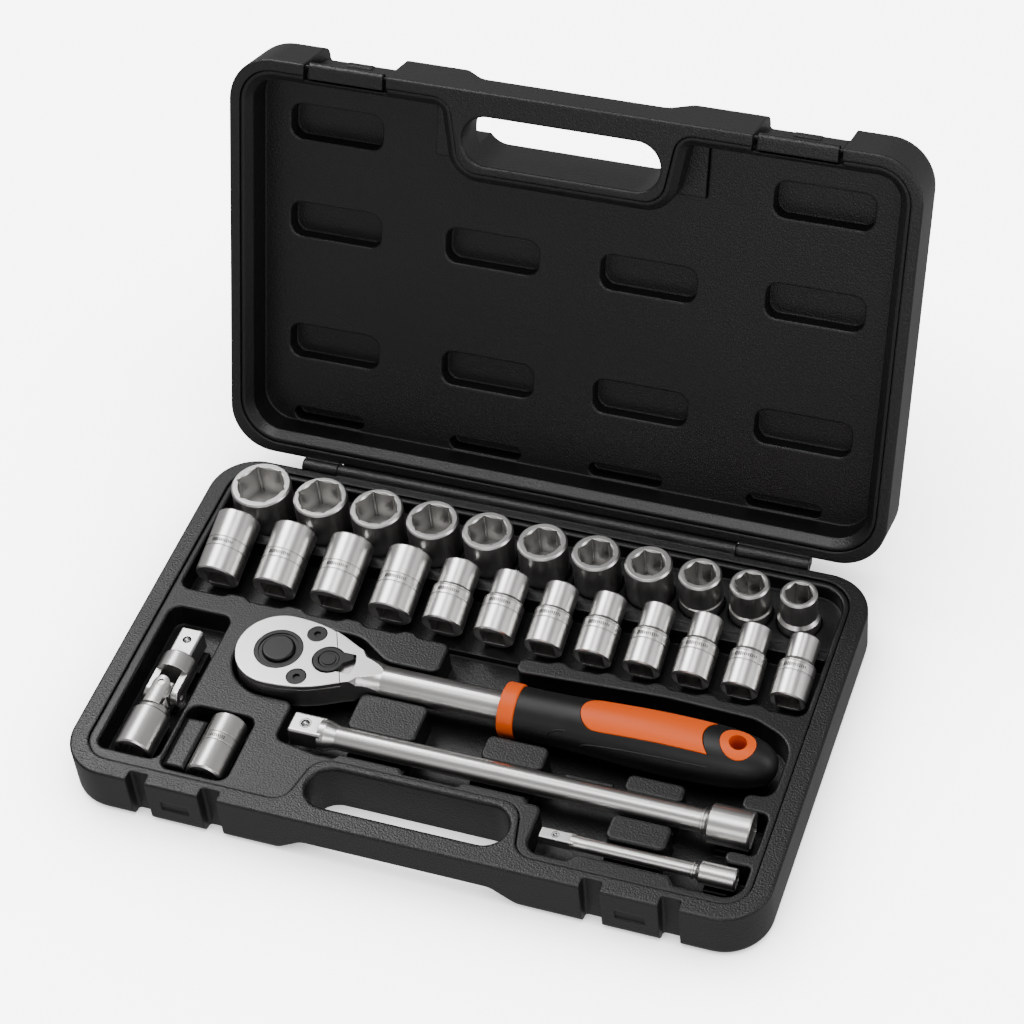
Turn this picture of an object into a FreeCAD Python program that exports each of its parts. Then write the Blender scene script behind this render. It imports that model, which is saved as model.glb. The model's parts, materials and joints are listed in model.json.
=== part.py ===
import FreeCAD, Part
import math
import os

# Socket wrench set in a hinged carrying case, millimetres, +Z up.
# Origin: the middle of the case's flat underside. The hinge is at the back, +Y.

V = FreeCAD.Vector
X_AXIS = V(1, 0, 0)
Y_AXIS = V(0, 1, 0)
Z_AXIS = V(0, 0, 1)

# Case shells
case_depth = 226.0
case_corner = 25.0
base_height = 30.0
lid_height = 37.5
rim_gap = 0.3
wall = 2.5
base_edge_round = 5.0
lid_edge_round = 9.0
rim_round = 1.2

# Carrying handle, moulded into the front of both shells
handle_x = -2.0
handle_half = 53.0
handle_lip = 4.8
base_bar_depth = 11.5
base_hole_width = 24.0
base_bar_height = 18.0
lid_bar_depth = 13.2
lid_hole_width = 26.5
lid_bar_height = 20.0
arch_run = 20.0

# Hinge
hinge_back = 3.5
hinge_below_rim = 1.0
barrel_radius = 4.0
barrel_clearance = 0.5
pin_radius = 1.5
pin_clearance = 0.06
knuckle_gap = 0.4
hinge_left_room = 45.0
hinge_left_knuckle = 20.5
hinge_right_room = 38.0
hinge_right_knuckle = 39.5
lid_open_angle = 110.4
stop_gap = 0.3

# Latches
latch_room = 65.0
latch_width = 41.0
latch_barrel_radius = 2.5
latch_pin_radius = 1.0
latch_pivot_in = 2.0
latch_pivot_up = 3.4
latch_plate = 3.2
latch_arm = 2.5
latch_reach = 22.6
latch_bead = 0.8
latch_front_gap = 0.4
latch_bead_width = 14.0
latch_bead_length = 4.5
base_block_width = 29.0
base_notch_width = 10.5
base_notch_depth = 6.3
lid_notch_width = 46.0
lid_notch_depth = 8.8

# Tool tray in the base and liner in the lid
tray_drop = 1.0
sheet = 2.0
tray_inset = 10.4
tray_back_inset = 6.0
tray_gap = 0.6
tray_corner = 14.0
tray_edge_round = 1.2
ledge = 3.0
liner_inset = 6.3
liner_drop = 0.8
liner_gap = 0.5
liner_flange = 4.9
liner_band = 5.7
liner_bevel = 4.0
liner_depth = 20.0
slot_length = 52.0
slot_width = 19.5
slot_depth = 9.0
slot_corner = 6.5
seat_gap = 0.3

# Drives
drive_square = 12.7
small_square = 6.35
square_clearance = 0.3
square_corner = 1.5
drive_hole_depth = 15.0
ball_radius = 2.2
ball_stand = 0.8

# Sockets standing in the back row, largest first: size across flats, drive end, hex end
upright_sockets = [
    (24, 33.0, 33.0), (22, 29.5, 29.5), (21, 28.8, 28.8), (20, 28.2, 28.2),
    (19, 27.5, 27.5), (18, 26.8, 26.8), (17, 25.6, 25.6), (16, 25.2, 25.2),
    (15, 23.8, 22.6), (14, 22.6, 20.8), (13, 22.6, 19.4),
]
# Sockets lying in the second row, in the same order
lying_sockets = [
    (17, 24.0, 24.0), (16, 24.0, 24.0), (15, 24.0, 24.0), (14, 24.0, 24.0),
    (13, 22.5, 20.0), (12, 22.0, 19.0), (11, 20.5, 18.0), (10, 20.5, 17.5),
    (9, 20.0, 17.0), (8, 20.0, 16.5), (7, 19.5, 16.0), (6, 19.5, 15.5),
]
socket_height = 38.0
lying_length = 37.0
upright_start_x = -150.7
upright_gap = 3.5
upright_y = 84.4
lying_start_x = -154.8
lying_gap_large = 9.0
lying_gap_small = 6.1
lying_large_count = 4
lying_front_y = 26.7
lying_tilt = 14.0
well_floor = 4.7
well_clearance = 0.6
bed_floor = 16.1
row_shelf = 20.0
ridge_top = 27.0
ridge_front_y = 57.0
ridge_back_y = 63.0
bed_clearance = 0.35
finger_left = -17.0
finger_right = 21.0

# Ratchet handle
ratchet_x = -99.2
ratchet_y = -17.2
ratchet_axis_z = 28.5
head_radius = 23.0
head_bottom = 19.5
head_top = 37.0
head_taper = 58.0
shank_radius = 8.5
cover_thickness = 3.0
gear_floor = 3.0
gear_teeth = 36
gear_tip_radius = 14.6
gear_tooth_depth = 1.3
gear_play = 0.3
journal_radius = 9.4
running_fit = 0.06
anvil_length = 14.0
collar_radius = 12.8
button_radius = 8.7
button_stand = 1.4
button_travel = 3.0
stem_radius = 2.2
spring_wire = 0.45
lever_offset = 28.0
lever_radius = 8.3
lever_tip = 13.4
lever_angle = 21.6
lever_swing = 40.0
lever_stand = 0.7
lever_stem_radius = 3.4
pawl_hub_radius = 4.6
screw_offset_x = 15.8
screw_offset_y = 14.8
screw_head_radius = 5.2
screw_shank_radius = 1.8
grip_start_x = 33.0
grip_end_x = 167.0
grip_neck_radius = 13.4
grip_radius = 15.8
collar_start_x = 24.0
collar_ring_radius = 14.2
tang_radius = 6.0
tang_end_x = 128.0
insert_start_x = 66.0
insert_end_x = 134.0
insert_half_width = 9.8
insert_floor = 10.5
insert_stand = 0.35
eyelet_x = 147.0
eyelet_radius = 8.9
eyelet_hole_radius = 4.5

# Extension bars, lying along X
long_bar_x = -76.8
long_bar_length = 242.4
long_bar_y = -56.7
long_bar_z = 27.0
long_shaft_radius = 6.2
long_socket_radius = 10.0
long_socket_length = 23.0
bar_end_room = 19.4
square_length = 18.0
short_bar_x = 65.9
short_bar_length = 99.7
short_bar_y = -84.9
short_bar_z = 25.0
short_shaft_radius = 3.7
short_socket_radius = 5.8
short_socket_length = 20.0

# Universal joint and reducing coupler, lying along Y
joint_x = -151.0
joint_tip_y = -11.9
joint_z = 25.0
joint_collar_length = 10.8
joint_collar_radius = 9.8
joint_hub_gap = 11.8
joint_socket_length = 28.5
joint_socket_radius = 10.3
cross_half = 5.0
arm_half = 4.6
arm_play = 0.35
cross_pin_radius = 2.0
coupler_x = -109.5
coupler_y = -61.0
coupler_length = 36.3
coupler_radius = 10.0
coupler_z = 24.0

half_width = long_bar_x + long_bar_length + bar_end_room
half_depth = case_depth / 2
front_y = -half_depth
rim_z = base_height
lid_rim_z = base_height + rim_gap
latch_x = half_width - latch_room
hinge_left_end = hinge_left_room - half_width
hinge_left_split = hinge_left_end + hinge_left_knuckle
hinge_right_end = half_width - hinge_right_room
hinge_right_split = hinge_right_end - hinge_right_knuckle
hinge_y = half_depth + hinge_back
hinge_z = base_height - hinge_below_rim
tray_top = base_height - tray_drop
recess_floor = ratchet_axis_z - grip_radius - seat_gap


def block(x0, x1, y0, y1, z0, z1):
    """Box between two corners."""
    return Part.makeBox(x1 - x0, y1 - y0, z1 - z0, V(x0, y0, z0))


def rod(radius, length, start, axis=Z_AXIS):
    """Cylinder from a start point along an axis."""
    return Part.makeCylinder(radius, length, start, axis)


def rounded(corners):
    """Closed wire through (x, y, radius) corners, with tangent arcs."""
    count = len(corners)
    entries = []
    middles = []
    exits = []
    for i in range(count):
        here = V(corners[i][0], corners[i][1], 0)
        back = corners[i - 1]
        ahead = corners[(i + 1) % count]
        to_back = (V(back[0], back[1], 0) - here).normalize()
        to_ahead = (V(ahead[0], ahead[1], 0) - here).normalize()
        radius = corners[i][2]
        half = to_back.getAngle(to_ahead) / 2
        reach = radius / math.tan(half)
        inward = (to_back + to_ahead).normalize()
        entries.append(here + to_back * reach)
        middles.append(here + inward * (radius / math.sin(half) - radius))
        exits.append(here + to_ahead * reach)
    edges = []
    for i in range(count):
        if corners[i][2] > 0:
            edges.append(Part.Arc(entries[i], middles[i], exits[i]).toShape())
        following = entries[(i + 1) % count]
        if exits[i].distanceToPoint(following) > 1e-6:
            edges.append(Part.LineSegment(exits[i], following).toShape())
    return Part.Wire(edges)


def rounded_rect(x0, x1, y0, y1, radius):
    """Rectangle with round corners."""
    return rounded([(x0, y0, radius), (x1, y0, radius), (x1, y1, radius), (x0, y1, radius)])


def prism(outline, z0, z1):
    """Upright solid over a wire or face drawn at height zero."""
    face = outline if isinstance(outline, Part.Face) else Part.Face(outline)
    solid = face.extrude(V(0, 0, z1 - z0))
    solid.translate(V(0, 0, z0))
    return solid


def grown(face, distance):
    """Face whose edges are moved outward, or inward if the distance is negative."""
    return face.makeOffset2D(distance)


def union(shapes):
    """One shape from several."""
    return shapes[0].multiFuse(shapes[1:]) if len(shapes) > 1 else shapes[0]


def level_edges(shape, height, keep=lambda edge: True):
    """Edges that lie flat at a height."""
    chosen = []
    for edge in shape.Edges:
        box = edge.BoundBox
        if abs(box.ZMin - height) < 1e-4 and abs(box.ZMax - height) < 1e-4 and keep(edge):
            chosen.append(edge)
    return chosen


def spun(points, axis_point, axis):
    """Solid of revolution from (distance along axis, radius) points."""
    side = Z_AXIS if abs(axis.z) < 0.5 else X_AXIS
    path = [axis_point + axis * d + side * r for d, r in points]
    face = Part.Face(Part.makePolygon(path + [path[0]]))
    return face.revolve(axis_point, axis, 360)


def turned(shape, angle, point, axis):
    """Copy turned about a line."""
    copy = shape.copy()
    copy.rotate(point, axis, angle)
    return copy


def helix_spring(coil_radius, pitch, height, wire_radius, base):
    """Coil spring standing at a point."""
    path = Part.makeHelix(pitch, height, coil_radius)
    ring = Part.Wire(Part.makeCircle(wire_radius, V(coil_radius, 0, 0), Y_AXIS))
    spring = Part.Wire(path).makePipeShell([ring], True, True)
    spring.translate(base)
    return spring


def opened(shape):
    """Lid piece moved from its closed place to the open rest pose."""
    return turned(shape, -lid_open_angle, V(0, hinge_y, hinge_z), X_AXIS)


def flipped(shape):
    """Piece drawn with its rim upward, turned over onto the base's rim."""
    return shape.mirror(V(0, 0, (lid_rim_z + lid_height) / 2), Z_AXIS)


# Case shells

def shell_block(height, edge_round):
    """Outer block of a shell, rim upward, with its long edges rounded."""
    solid = prism(rounded_rect(-half_width, half_width, -half_depth, half_depth, case_corner), 0, height)
    solid = solid.makeFillet(edge_round, level_edges(solid, 0))
    return solid.makeFillet(rim_round, level_edges(solid, height))


def handle_cut(height, bar_depth, hole_width, bar_height):
    """Finger hole behind the handle bar, and the arch under the bar."""
    hole_front = front_y + bar_depth
    hole_back = hole_front + hole_width
    hole = prism(rounded_rect(handle_x - handle_half, handle_x + handle_half, hole_front, hole_back,
                              hole_width / 2 - 0.01), -1, height + 1)
    top = height - bar_height
    foot = handle_half - 3 + arch_run
    arch = Part.Face(rounded([(handle_x - foot, -1, 0), (handle_x + foot, -1, 0),
                              (handle_x + handle_half - 3, top, 9), (handle_x - handle_half + 3, top, 9)]))
    arch.rotate(V(0, 0, 0), X_AXIS, 90)
    arch.translate(V(0, hole_back - handle_lip, 0))
    arch = arch.extrude(V(0, -bar_depth - hole_width, 0))
    return hole.fuse(arch)


def handle_keep(height, bar_depth, hole_width, bar_height):
    """Solid left standing round the handle when a shell is hollowed."""
    back = front_y + bar_depth + hole_width + handle_lip - tray_gap
    foot = handle_half + arch_run
    top = height - bar_height + wall
    upper = block(handle_x - handle_half - 7, handle_x + handle_half + 6, front_y, back, 0, height)
    lower = block(handle_x - foot, handle_x + foot, front_y, back, 0, top)
    return upper.fuse(lower)


def handle_outline(inset, back_inset, corner, bar_depth, hole_width, lip):
    """Inner outline of a rim, going round the handle's hole."""
    front = front_y + inset
    back = half_depth - back_inset
    side = half_width - inset
    bump = front_y + bar_depth + hole_width + lip
    wide = handle_half + lip + 3.2
    narrow = handle_half + lip - 3.3
    return rounded([(-side, front, corner), (handle_x - wide, front, 10), (handle_x - narrow, bump, 12),
                    (handle_x + narrow, bump, 12), (handle_x + wide, front, 10), (side, front, corner),
                    (side, back, corner + 4), (-side, back, corner + 4)])


def knuckle(x0, x1):
    """Hinge barrel between two places along the hinge line."""
    return rod(barrel_radius, x1 - x0, V(x0, hinge_y, hinge_z), X_AXIS)


def hinge_clearance(x0, x1):
    """Room round the other shell's barrel."""
    return rod(barrel_radius + barrel_clearance, x1 - x0, V(x0, hinge_y, hinge_z), X_AXIS)


hinge_bore = rod(pin_radius + pin_clearance, hinge_right_end - hinge_left_end + 2,
                 V(hinge_left_end - 1, hinge_y, hinge_z), X_AXIS)
lid_knuckles = [(hinge_left_end, hinge_left_split - knuckle_gap / 2),
                (hinge_right_split + knuckle_gap / 2, hinge_right_end)]
base_knuckle = (hinge_left_split + knuckle_gap / 2, hinge_right_split - knuckle_gap / 2)

tray_face = Part.Face(handle_outline(tray_inset, tray_back_inset, tray_corner,
                                     base_bar_depth, base_hole_width, handle_lip))


def make_case_base():
    """Base shell: floor, walls, rim with the tray's ledge, handle, latch blocks and hinge barrel."""
    shell = shell_block(base_height, base_edge_round)
    shell = shell.cut(handle_cut(base_height, base_bar_depth, base_hole_width, base_bar_height))
    in_hole = lambda e: e.BoundBox.YMin > front_y + 5 and e.BoundBox.YMax < 0 and abs(e.CenterOfMass.x) < 70
    shell = shell.makeFillet(2.0, level_edges(shell, base_height, in_hole))
    flange_bottom = tray_top - sheet - seat_gap
    cavity = prism(rounded_rect(-half_width + wall, half_width - wall, -half_depth + wall,
                                half_depth - wall, case_corner - wall), wall, flange_bottom - 4)
    cavity = cavity.cut(handle_keep(base_height, base_bar_depth, base_hole_width, base_bar_height))
    notch_reach = base_block_width / 2 + base_notch_width + wall
    for side in (-1, 1):
        x = side * latch_x
        cavity = cavity.cut(block(x - notch_reach, x + notch_reach, front_y,
                                  front_y + base_notch_depth + wall, 0, base_height))
    shell = shell.cut(cavity)
    shell = shell.cut(prism(grown(tray_face, -ledge), flange_bottom - 5, base_height + 1))
    shell = shell.cut(prism(grown(tray_face, tray_gap), flange_bottom, base_height + 1))
    shell = shell.cut([prism(grown(face, sheet + 0.3), recess_floor - sheet - 0.4, base_height)
                       for face in (make_recess_face(), joint_pocket(), coupler_pocket())])
    notches = []
    bead_z = lid_rim_z + latch_pivot_up - latch_reach + latch_bead_length / 2 + 1.5
    for side in (-1, 1):
        x = side * latch_x
        for hand in (-1, 1):
            edge = x + hand * base_block_width / 2
            far = edge + hand * base_notch_width
            notches.append(prism(rounded_rect(min(edge, far), max(edge, far), front_y - 5,
                                              front_y + base_notch_depth, 1.5), -1, base_height + 1))
        half = latch_bead_width / 2 + 0.6
        notches.append(block(x - half, x + half, front_y - 1, front_y + latch_bead,
                             bead_z - latch_bead_length / 2 - 0.9, bead_z + latch_bead_length / 2 + 0.9))
    shell = shell.cut(union(notches))
    web = block(base_knuckle[0], base_knuckle[1], half_depth - 1, hinge_y, hinge_z - barrel_radius, hinge_z)
    shell = shell.fuse([knuckle(*base_knuckle), web])
    for x0, x1 in lid_knuckles:
        shell = shell.cut(hinge_clearance(x0 - knuckle_gap, x1 + knuckle_gap))
    return shell.cut(hinge_bore).removeSplitter()


def make_case_lid():
    """Lid shell, closed: walls, rim with the liner's ledge, handle, latch recesses and knuckles."""
    shell = shell_block(lid_height, lid_edge_round)
    shell = shell.cut(handle_cut(lid_height, lid_bar_depth, lid_hole_width, lid_bar_height))
    in_hole = lambda e: e.BoundBox.YMin > front_y + 5 and e.BoundBox.YMax < 0 and abs(e.CenterOfMass.x) < 70
    shell = shell.makeFillet(1.5, level_edges(shell, lid_height, in_hole))
    ledge_top = lid_height - liner_drop - liner_flange - seat_gap
    cavity = prism(rounded_rect(-half_width + wall, half_width - wall, -half_depth + wall,
                                half_depth - wall, case_corner - wall), lid_edge_round, ledge_top - 3)
    inset = wall + lid_edge_round * 0.7
    cavity = cavity.fuse(prism(rounded_rect(-half_width + inset, half_width - inset, -half_depth + inset,
                                            half_depth - inset, case_corner - inset), wall, ledge_top - 3))
    cavity = cavity.cut(handle_keep(lid_height, lid_bar_depth, lid_hole_width, lid_bar_height))
    reach = lid_notch_width / 2 + wall
    for side in (-1, 1):
        x = side * latch_x
        cavity = cavity.cut(block(x - reach, x + reach, front_y,
                                  front_y + lid_notch_depth + wall, 0, lid_height))
    shell = shell.cut(cavity)
    shell = shell.cut(prism(grown(liner_face, -ledge), ledge_top - 4, lid_height + 1))
    shell = shell.cut(prism(grown(liner_face, liner_gap), ledge_top, lid_height + 1))
    tub_low = lid_height - lid_bar_height + wall
    tub_room = prism(grown(liner_face, sheet - liner_band + 0.4), tub_low, lid_height + 1)
    for side in (-1, 1):
        x = side * latch_x
        tub_room = tub_room.cut(block(x - reach, x + reach, front_y,
                                      front_y + lid_notch_depth + wall, 0, ledge_top - 4))
    shell = shell.cut(tub_room)
    for side in (-1, 1):
        x = side * latch_x
        notch = prism(rounded_rect(x - lid_notch_width / 2, x + lid_notch_width / 2, front_y - 5,
                                   front_y + lid_notch_depth, 1.5), -1, lid_height + 1)
        shell = shell.cut(notch)
    shell = flipped(shell)
    holes = []
    for side in (-1, 1):
        holes.append(latch_pin(side, pin_clearance))
    shell = shell.cut(holes)
    for x0, x1 in lid_knuckles:
        web = block(x0, x1, half_depth - 2, hinge_y + 2, lid_rim_z, hinge_z + barrel_radius + 1.5)
        shell = shell.fuse([knuckle(x0, x1), web])
    shell = shell.cut(hinge_clearance(base_knuckle[0] - knuckle_gap, base_knuckle[1] + knuckle_gap))
    shell = opened(shell.cut(hinge_bore))
    for x0, x1 in lid_knuckles:
        lug = block(x0, x0 + 18, half_depth + stop_gap, hinge_y, hinge_z - barrel_radius - 4.5, hinge_z)
        shell = shell.fuse(lug.cut(hinge_bore))
    return shell.removeSplitter()


def latch_pin(side, extra=0.0):
    """Cross pin on which a latch turns, lid closed."""
    length = lid_notch_width + 2 * 2.2 + 2 * extra
    return rod(latch_pin_radius + extra, length,
               V(side * latch_x - length / 2, front_y + latch_pivot_in, lid_rim_z + latch_pivot_up), X_AXIS)


def make_latch(side):
    """Flip latch, folded up into the closed lid: barrel, arm, plate and catch bead."""
    half = latch_width / 2
    x0 = side * latch_x - half
    x1 = side * latch_x + half
    pivot_y = front_y + latch_pivot_in
    pivot_z = lid_rim_z + latch_pivot_up
    barrel = rod(latch_barrel_radius, latch_width, V(x0, pivot_y, pivot_z), X_AXIS)
    face_y = pivot_y + latch_pivot_in + latch_front_gap
    arm = block(x0, x1, pivot_y, face_y + latch_plate, pivot_z - latch_arm, pivot_z + latch_arm)
    plate = block(x0, x1, face_y, face_y + latch_plate, pivot_z - latch_arm, pivot_z + latch_reach)
    plate = plate.makeFillet(1.0, [e for e in plate.Edges if e.BoundBox.ZMin > pivot_z + latch_reach - 0.01])
    bead_z = pivot_z + latch_reach - latch_bead_length - 1.5
    bead = block(side * latch_x - latch_bead_width / 2, side * latch_x + latch_bead_width / 2,
                 face_y - latch_bead, face_y + 0.5, bead_z, bead_z + latch_bead_length)
    bead = bead.makeFillet(latch_bead / 2, [e for e in bead.Edges if e.BoundBox.YMax < face_y - latch_bead + 0.01])
    ribs = [block(x0 + 2, x1 - 2, face_y - 0.25, face_y + 0.5, pivot_z + 6.0 + 3.4 * i, pivot_z + 7.4 + 3.4 * i)
            for i in range(2)]
    latch = union([barrel, arm, plate, bead] + ribs).removeSplitter()
    return latch.cut(rod(latch_pin_radius + pin_clearance, latch_width + 2,
                         V(x0 - 1, pivot_y, pivot_z), X_AXIS))


liner_face = Part.Face(handle_outline(liner_inset, liner_inset, case_corner - liner_inset,
                                      lid_bar_depth, lid_hole_width, handle_lip))


def make_lid_liner():
    """Inner panel of the lid, closed: flange, bevelled rim, walls and pressed slots."""
    top = lid_height - liner_drop
    floor = lid_height - liner_depth
    flange = prism(liner_face, top - liner_flange, top)
    tub = prism(grown(liner_face, sheet - liner_band), floor - sheet, top - 1)
    inside = prism(grown(liner_face, -liner_band), floor, top + 1)
    body = flange.fuse(tub).cut(inside).removeSplitter()
    rim_side = half_width - liner_inset - liner_band / 2
    inner = lambda e: not (abs(e.CenterOfMass.x) > rim_side or abs(e.CenterOfMass.y) > half_depth - liner_inset - 3)
    mouth = [e for e in level_edges(body, top, inner) if on_offset(e, grown(liner_face, -liner_band))]
    body = body.makeChamfer(liner_bevel, mouth)
    rows = []
    for x in (-132.0, 132.0):
        rows.append((x, 190.6))
    for x in (-132.0, -43.0, 43.0, 132.0):
        rows.append((x, 134.3))
        rows.append((x, 61.7))
    cups = []
    slots = []
    scale = case_depth / 230.0
    for x, height in rows:
        y = half_depth - height * scale
        slot = Part.Face(rounded_rect(x - slot_length / 2, x + slot_length / 2, y - slot_width / 2,
                                      y + slot_width / 2, slot_corner))
        slots.append(prism(slot, floor - slot_depth, floor + 1))
        cups.append(prism(grown(slot, sheet), floor - slot_depth - sheet, floor - 0.5))
    foot = half_depth - liner_inset - liner_band - 1.0
    for x in (-134.5, -42.5, 37.5, 125.5):
        slot = Part.Face(rounded_rect(x - 20.5, x + 20.5, foot - 7.7, foot, 3.6))
        slots.append(prism(slot, floor - slot_depth, floor + 1))
        cups.append(prism(grown(slot, sheet), floor - slot_depth - sheet, floor - 0.5))
    body = body.fuse(cups).cut(slots + liner_rooms()).removeSplitter()
    lips = level_edges(body, floor, lambda e: abs(e.CenterOfMass.y) < foot - 8.5 and in_slot(e, rows, scale))
    body = body.makeFillet(1.0, lips)
    return opened(flipped(body))


def liner_rooms():
    """Room in the liner for the latch housings and the thick of the handle, rim upward."""
    rooms = []
    ledge_low = lid_height - liner_drop - liner_flange - seat_gap - 4
    housing = lid_notch_width / 2 + wall + 0.4
    window_half = lid_notch_width / 2 + 0.4
    window_back = front_y + lid_notch_depth
    for side in (-1, 1):
        x = side * latch_x
        rooms.append(block(x - housing, x + housing, front_y, window_back + wall + 0.4, -1, ledge_low + 0.4))
        rooms.append(block(x - window_half, x + window_half, front_y, window_back + 0.4, -1, lid_height + 1))
    foot = handle_half + arch_run + 0.4
    back = front_y + lid_bar_depth + lid_hole_width + handle_lip
    top = lid_height - lid_bar_height + wall + 0.4
    rooms.append(block(handle_x - foot, handle_x + foot, front_y, back, -1, top))
    return rooms


def on_offset(edge, face):
    """True if the edge runs along a face's outline."""
    middle = edge.valueAt((edge.FirstParameter + edge.LastParameter) / 2)
    return Part.Vertex(V(middle.x, middle.y, 0)).distToShape(face.OuterWire)[0] < 1e-3


def in_slot(edge, rows, scale):
    """True if the edge belongs to one of the panel's slots."""
    for x, height in rows:
        y = half_depth - height * scale
        if abs(edge.CenterOfMass.x - x) <= slot_length / 2 + 0.1 and \
                abs(edge.CenterOfMass.y - y) <= slot_width / 2 + 0.1:
            return True
    return False


# Sockets

def upright_places():
    """Middle of each standing socket along X."""
    places = [upright_start_x]
    for before, after in zip(upright_sockets, upright_sockets[1:]):
        places.append(places[-1] + (before[1] + after[1]) / 2 + upright_gap)
    return places


def lying_places():
    """Middle of each lying socket along X."""
    places = [lying_start_x]
    for i in range(1, len(lying_sockets)):
        gap = lying_gap_large if i < lying_large_count else lying_gap_small
        places.append(places[-1] + (lying_sockets[i - 1][1] + lying_sockets[i][1]) / 2 + gap)
    return places


def square_hole(size, depth, start_z=0.0):
    """Drive square with round corners, opening downward."""
    half = (size + square_clearance) / 2
    return prism(rounded_rect(-half, half, -half, half, square_corner), start_z - 1, start_z + depth)


def socket_solid(flats, drive_diameter, hex_diameter, length, banded):
    """Socket standing on its drive end at the origin, with or without the two fine rings of its marked band."""
    low = drive_diameter / 2
    high = hex_diameter / 2
    step = length * 0.55
    run = (low - high) * 1.2
    points = [(0, 0), (0, low - 0.8), (0.8, low)]
    if low - high > 0.2:
        points += [(step, low), (step + run, high)]
    points += [(length - 0.9, high), (length, high - 0.9), (length, 0)]
    body = spun(points, V(0, 0, 0), Z_AXIS)
    corner = flats / 2 / math.cos(math.pi / 6)
    hex_depth = length - drive_hole_depth - 4.0
    hexagon = Part.makePolygon([V(corner * math.cos(math.radians(60 * i)),
                                  corner * math.sin(math.radians(60 * i)), 0) for i in range(7)])
    hex_hole = prism(hexagon, length - hex_depth, length + 1)
    relief = max(0.5, flats * 0.045)
    grooves = []
    for i in range(6):
        angle = math.radians(60 * i)
        reach = corner - relief * 0.9
        grooves.append(rod(relief, hex_depth + 1, V(reach * math.cos(angle), reach * math.sin(angle),
                                                    length - hex_depth)))
    bevel = Part.makeCone(flats / 2, flats / 2 + 1.4, 1.4, V(0, 0, length - 0.9))
    through = rod(min(flats, drive_square) * 0.36, length, V(0, 0, 0))
    body = body.cut([hex_hole, bevel, through, square_hole(drive_square, drive_hole_depth)] + grooves)
    if not banded:
        return body
    rings = []
    for height in (step - 6.2, step - 1.0):
        ring = rod(low + 1, 0.5, V(0, 0, height)).cut(rod(low - 0.2, 0.5, V(0, 0, height)))
        rings.append(ring)
    return body.cut(rings)


def lying_axis_start(drive_diameter):
    """Middle of a lying socket's drive face: height above the bed comes from its radius."""
    lean = math.radians(lying_tilt)
    return bed_floor + seat_gap + drive_diameter / 2 * math.cos(lean)


def lay_socket(solid, x, drive_diameter):
    """Lays a socket back with its drive end to the front and its hex end raised."""
    solid.rotate(V(0, 0, 0), X_AXIS, -(90 - lying_tilt))
    solid.translate(V(x, lying_front_y, lying_axis_start(drive_diameter)))
    return solid


# Tool tray

def front_wave(places, sizes, dip_y, rise_y, left, right):
    """Corners of the scalloped edge in front of the lying sockets, left to right."""
    corners = []
    for x, size in zip(places, sizes):
        half = size[1] / 2 + 0.5
        if x - half > left:
            corners.append((x - half, rise_y, 3.0))
            corners.append((x - half + 3.5, dip_y, 4.0))
        if x + half < right:
            corners.append((x + half - 3.5, dip_y, 4.0))
            corners.append((x + half, rise_y, 3.0))
    return corners


def make_recess_face():
    """Outline of the joined recess for sockets, ratchet and bars, with its raised islands."""
    side = half_width - tray_inset - 3.2
    back = half_depth - tray_back_inset - 3.0
    places = lying_places()
    head_left = ratchet_x - head_radius - 2.2
    head_up = ratchet_y + head_radius + 2.0
    head_down = ratchet_y - head_radius - 2.0
    bar_front = front_y + base_bar_depth + base_hole_width + handle_lip + sheet
    ledge_front = bar_front + 3.2
    short_left = short_bar_x - 3.4
    short_front = short_bar_y - short_socket_radius - 7.8
    bar_end = side - 0.6
    stop_low = short_bar_y + short_socket_radius + 0.9
    stop_high = long_bar_y + long_socket_radius + 1.0
    shank_up = ratchet_y + shank_radius + 4.2
    left_dip = lying_front_y - 11.1
    right_dip = lying_front_y - 9.5
    corners = [(-side, back, 15), (-side, left_dip, 6)]
    corners += front_wave(places[:5], lying_sockets[:5], left_dip, left_dip + 2.6, 6 - side, finger_left)
    corners += [(finger_left, left_dip, 4), (finger_left, shank_up, 5), (-46, shank_up, 14), (-64, head_up, 18)]
    corners += [(head_left, head_up, head_radius + 1.8), (head_left, head_down, head_radius + 1.8)]
    corners += [(long_bar_x - 5, head_down, 5), (long_bar_x - 5, bar_front + 4, 5), (-58, bar_front, 6)]
    for x0, x1 in ((-46, -14), (20, 52)):
        corners += [(x0 - 2.5, bar_front, 2), (x0, ledge_front, 2), (x1, ledge_front, 2), (x1 + 2.5, bar_front, 2)]
    corners += [(short_left, bar_front, 4), (short_left, short_front, 7), (84, short_front, 3),
                (88, short_front + 5, 3), (134, short_front + 5, 3), (138, short_front, 3)]
    corners += [(bar_end, short_front, 10), (bar_end, stop_low, 2), (157, stop_low, 3), (157, -71.5, 3),
                (bar_end, -71.5, 3), (bar_end, stop_high, 4), (156, stop_high, 4), (156, -36, 4)]
    corners += [(grip_end_x + 2.6, -35, 7), (grip_end_x + 2.6, 0, 16), (148, 9.5, 20), (100, 11, 60)]
    corners += [(finger_right, 7, 4), (finger_right, right_dip, 4)]
    corners += front_wave(places[6:], lying_sockets[6:], right_dip, right_dip + 2.2, finger_right, side - 6)
    corners += [(side, right_dip, 6), (side, back, 15)]
    islands = [rounded_rect(-50, -13, long_bar_y + 6.4, ratchet_y - shank_radius - 1.0, 4),
               rounded_rect(22, 55, long_bar_y + 6.4, ratchet_y - grip_radius - 2.2, 4),
               rounded_rect(97.5, 127.5, long_bar_y + 6.4, ratchet_y - grip_radius - 6.8, 3.5),
               rounded_rect(97.5, 128, short_bar_y + 4.6, long_bar_y - 8.8, 3.5)]
    face = Part.Face(rounded(corners))
    for island in islands:
        face = face.cut(Part.Face(island)).Faces[0]
    return face


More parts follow.
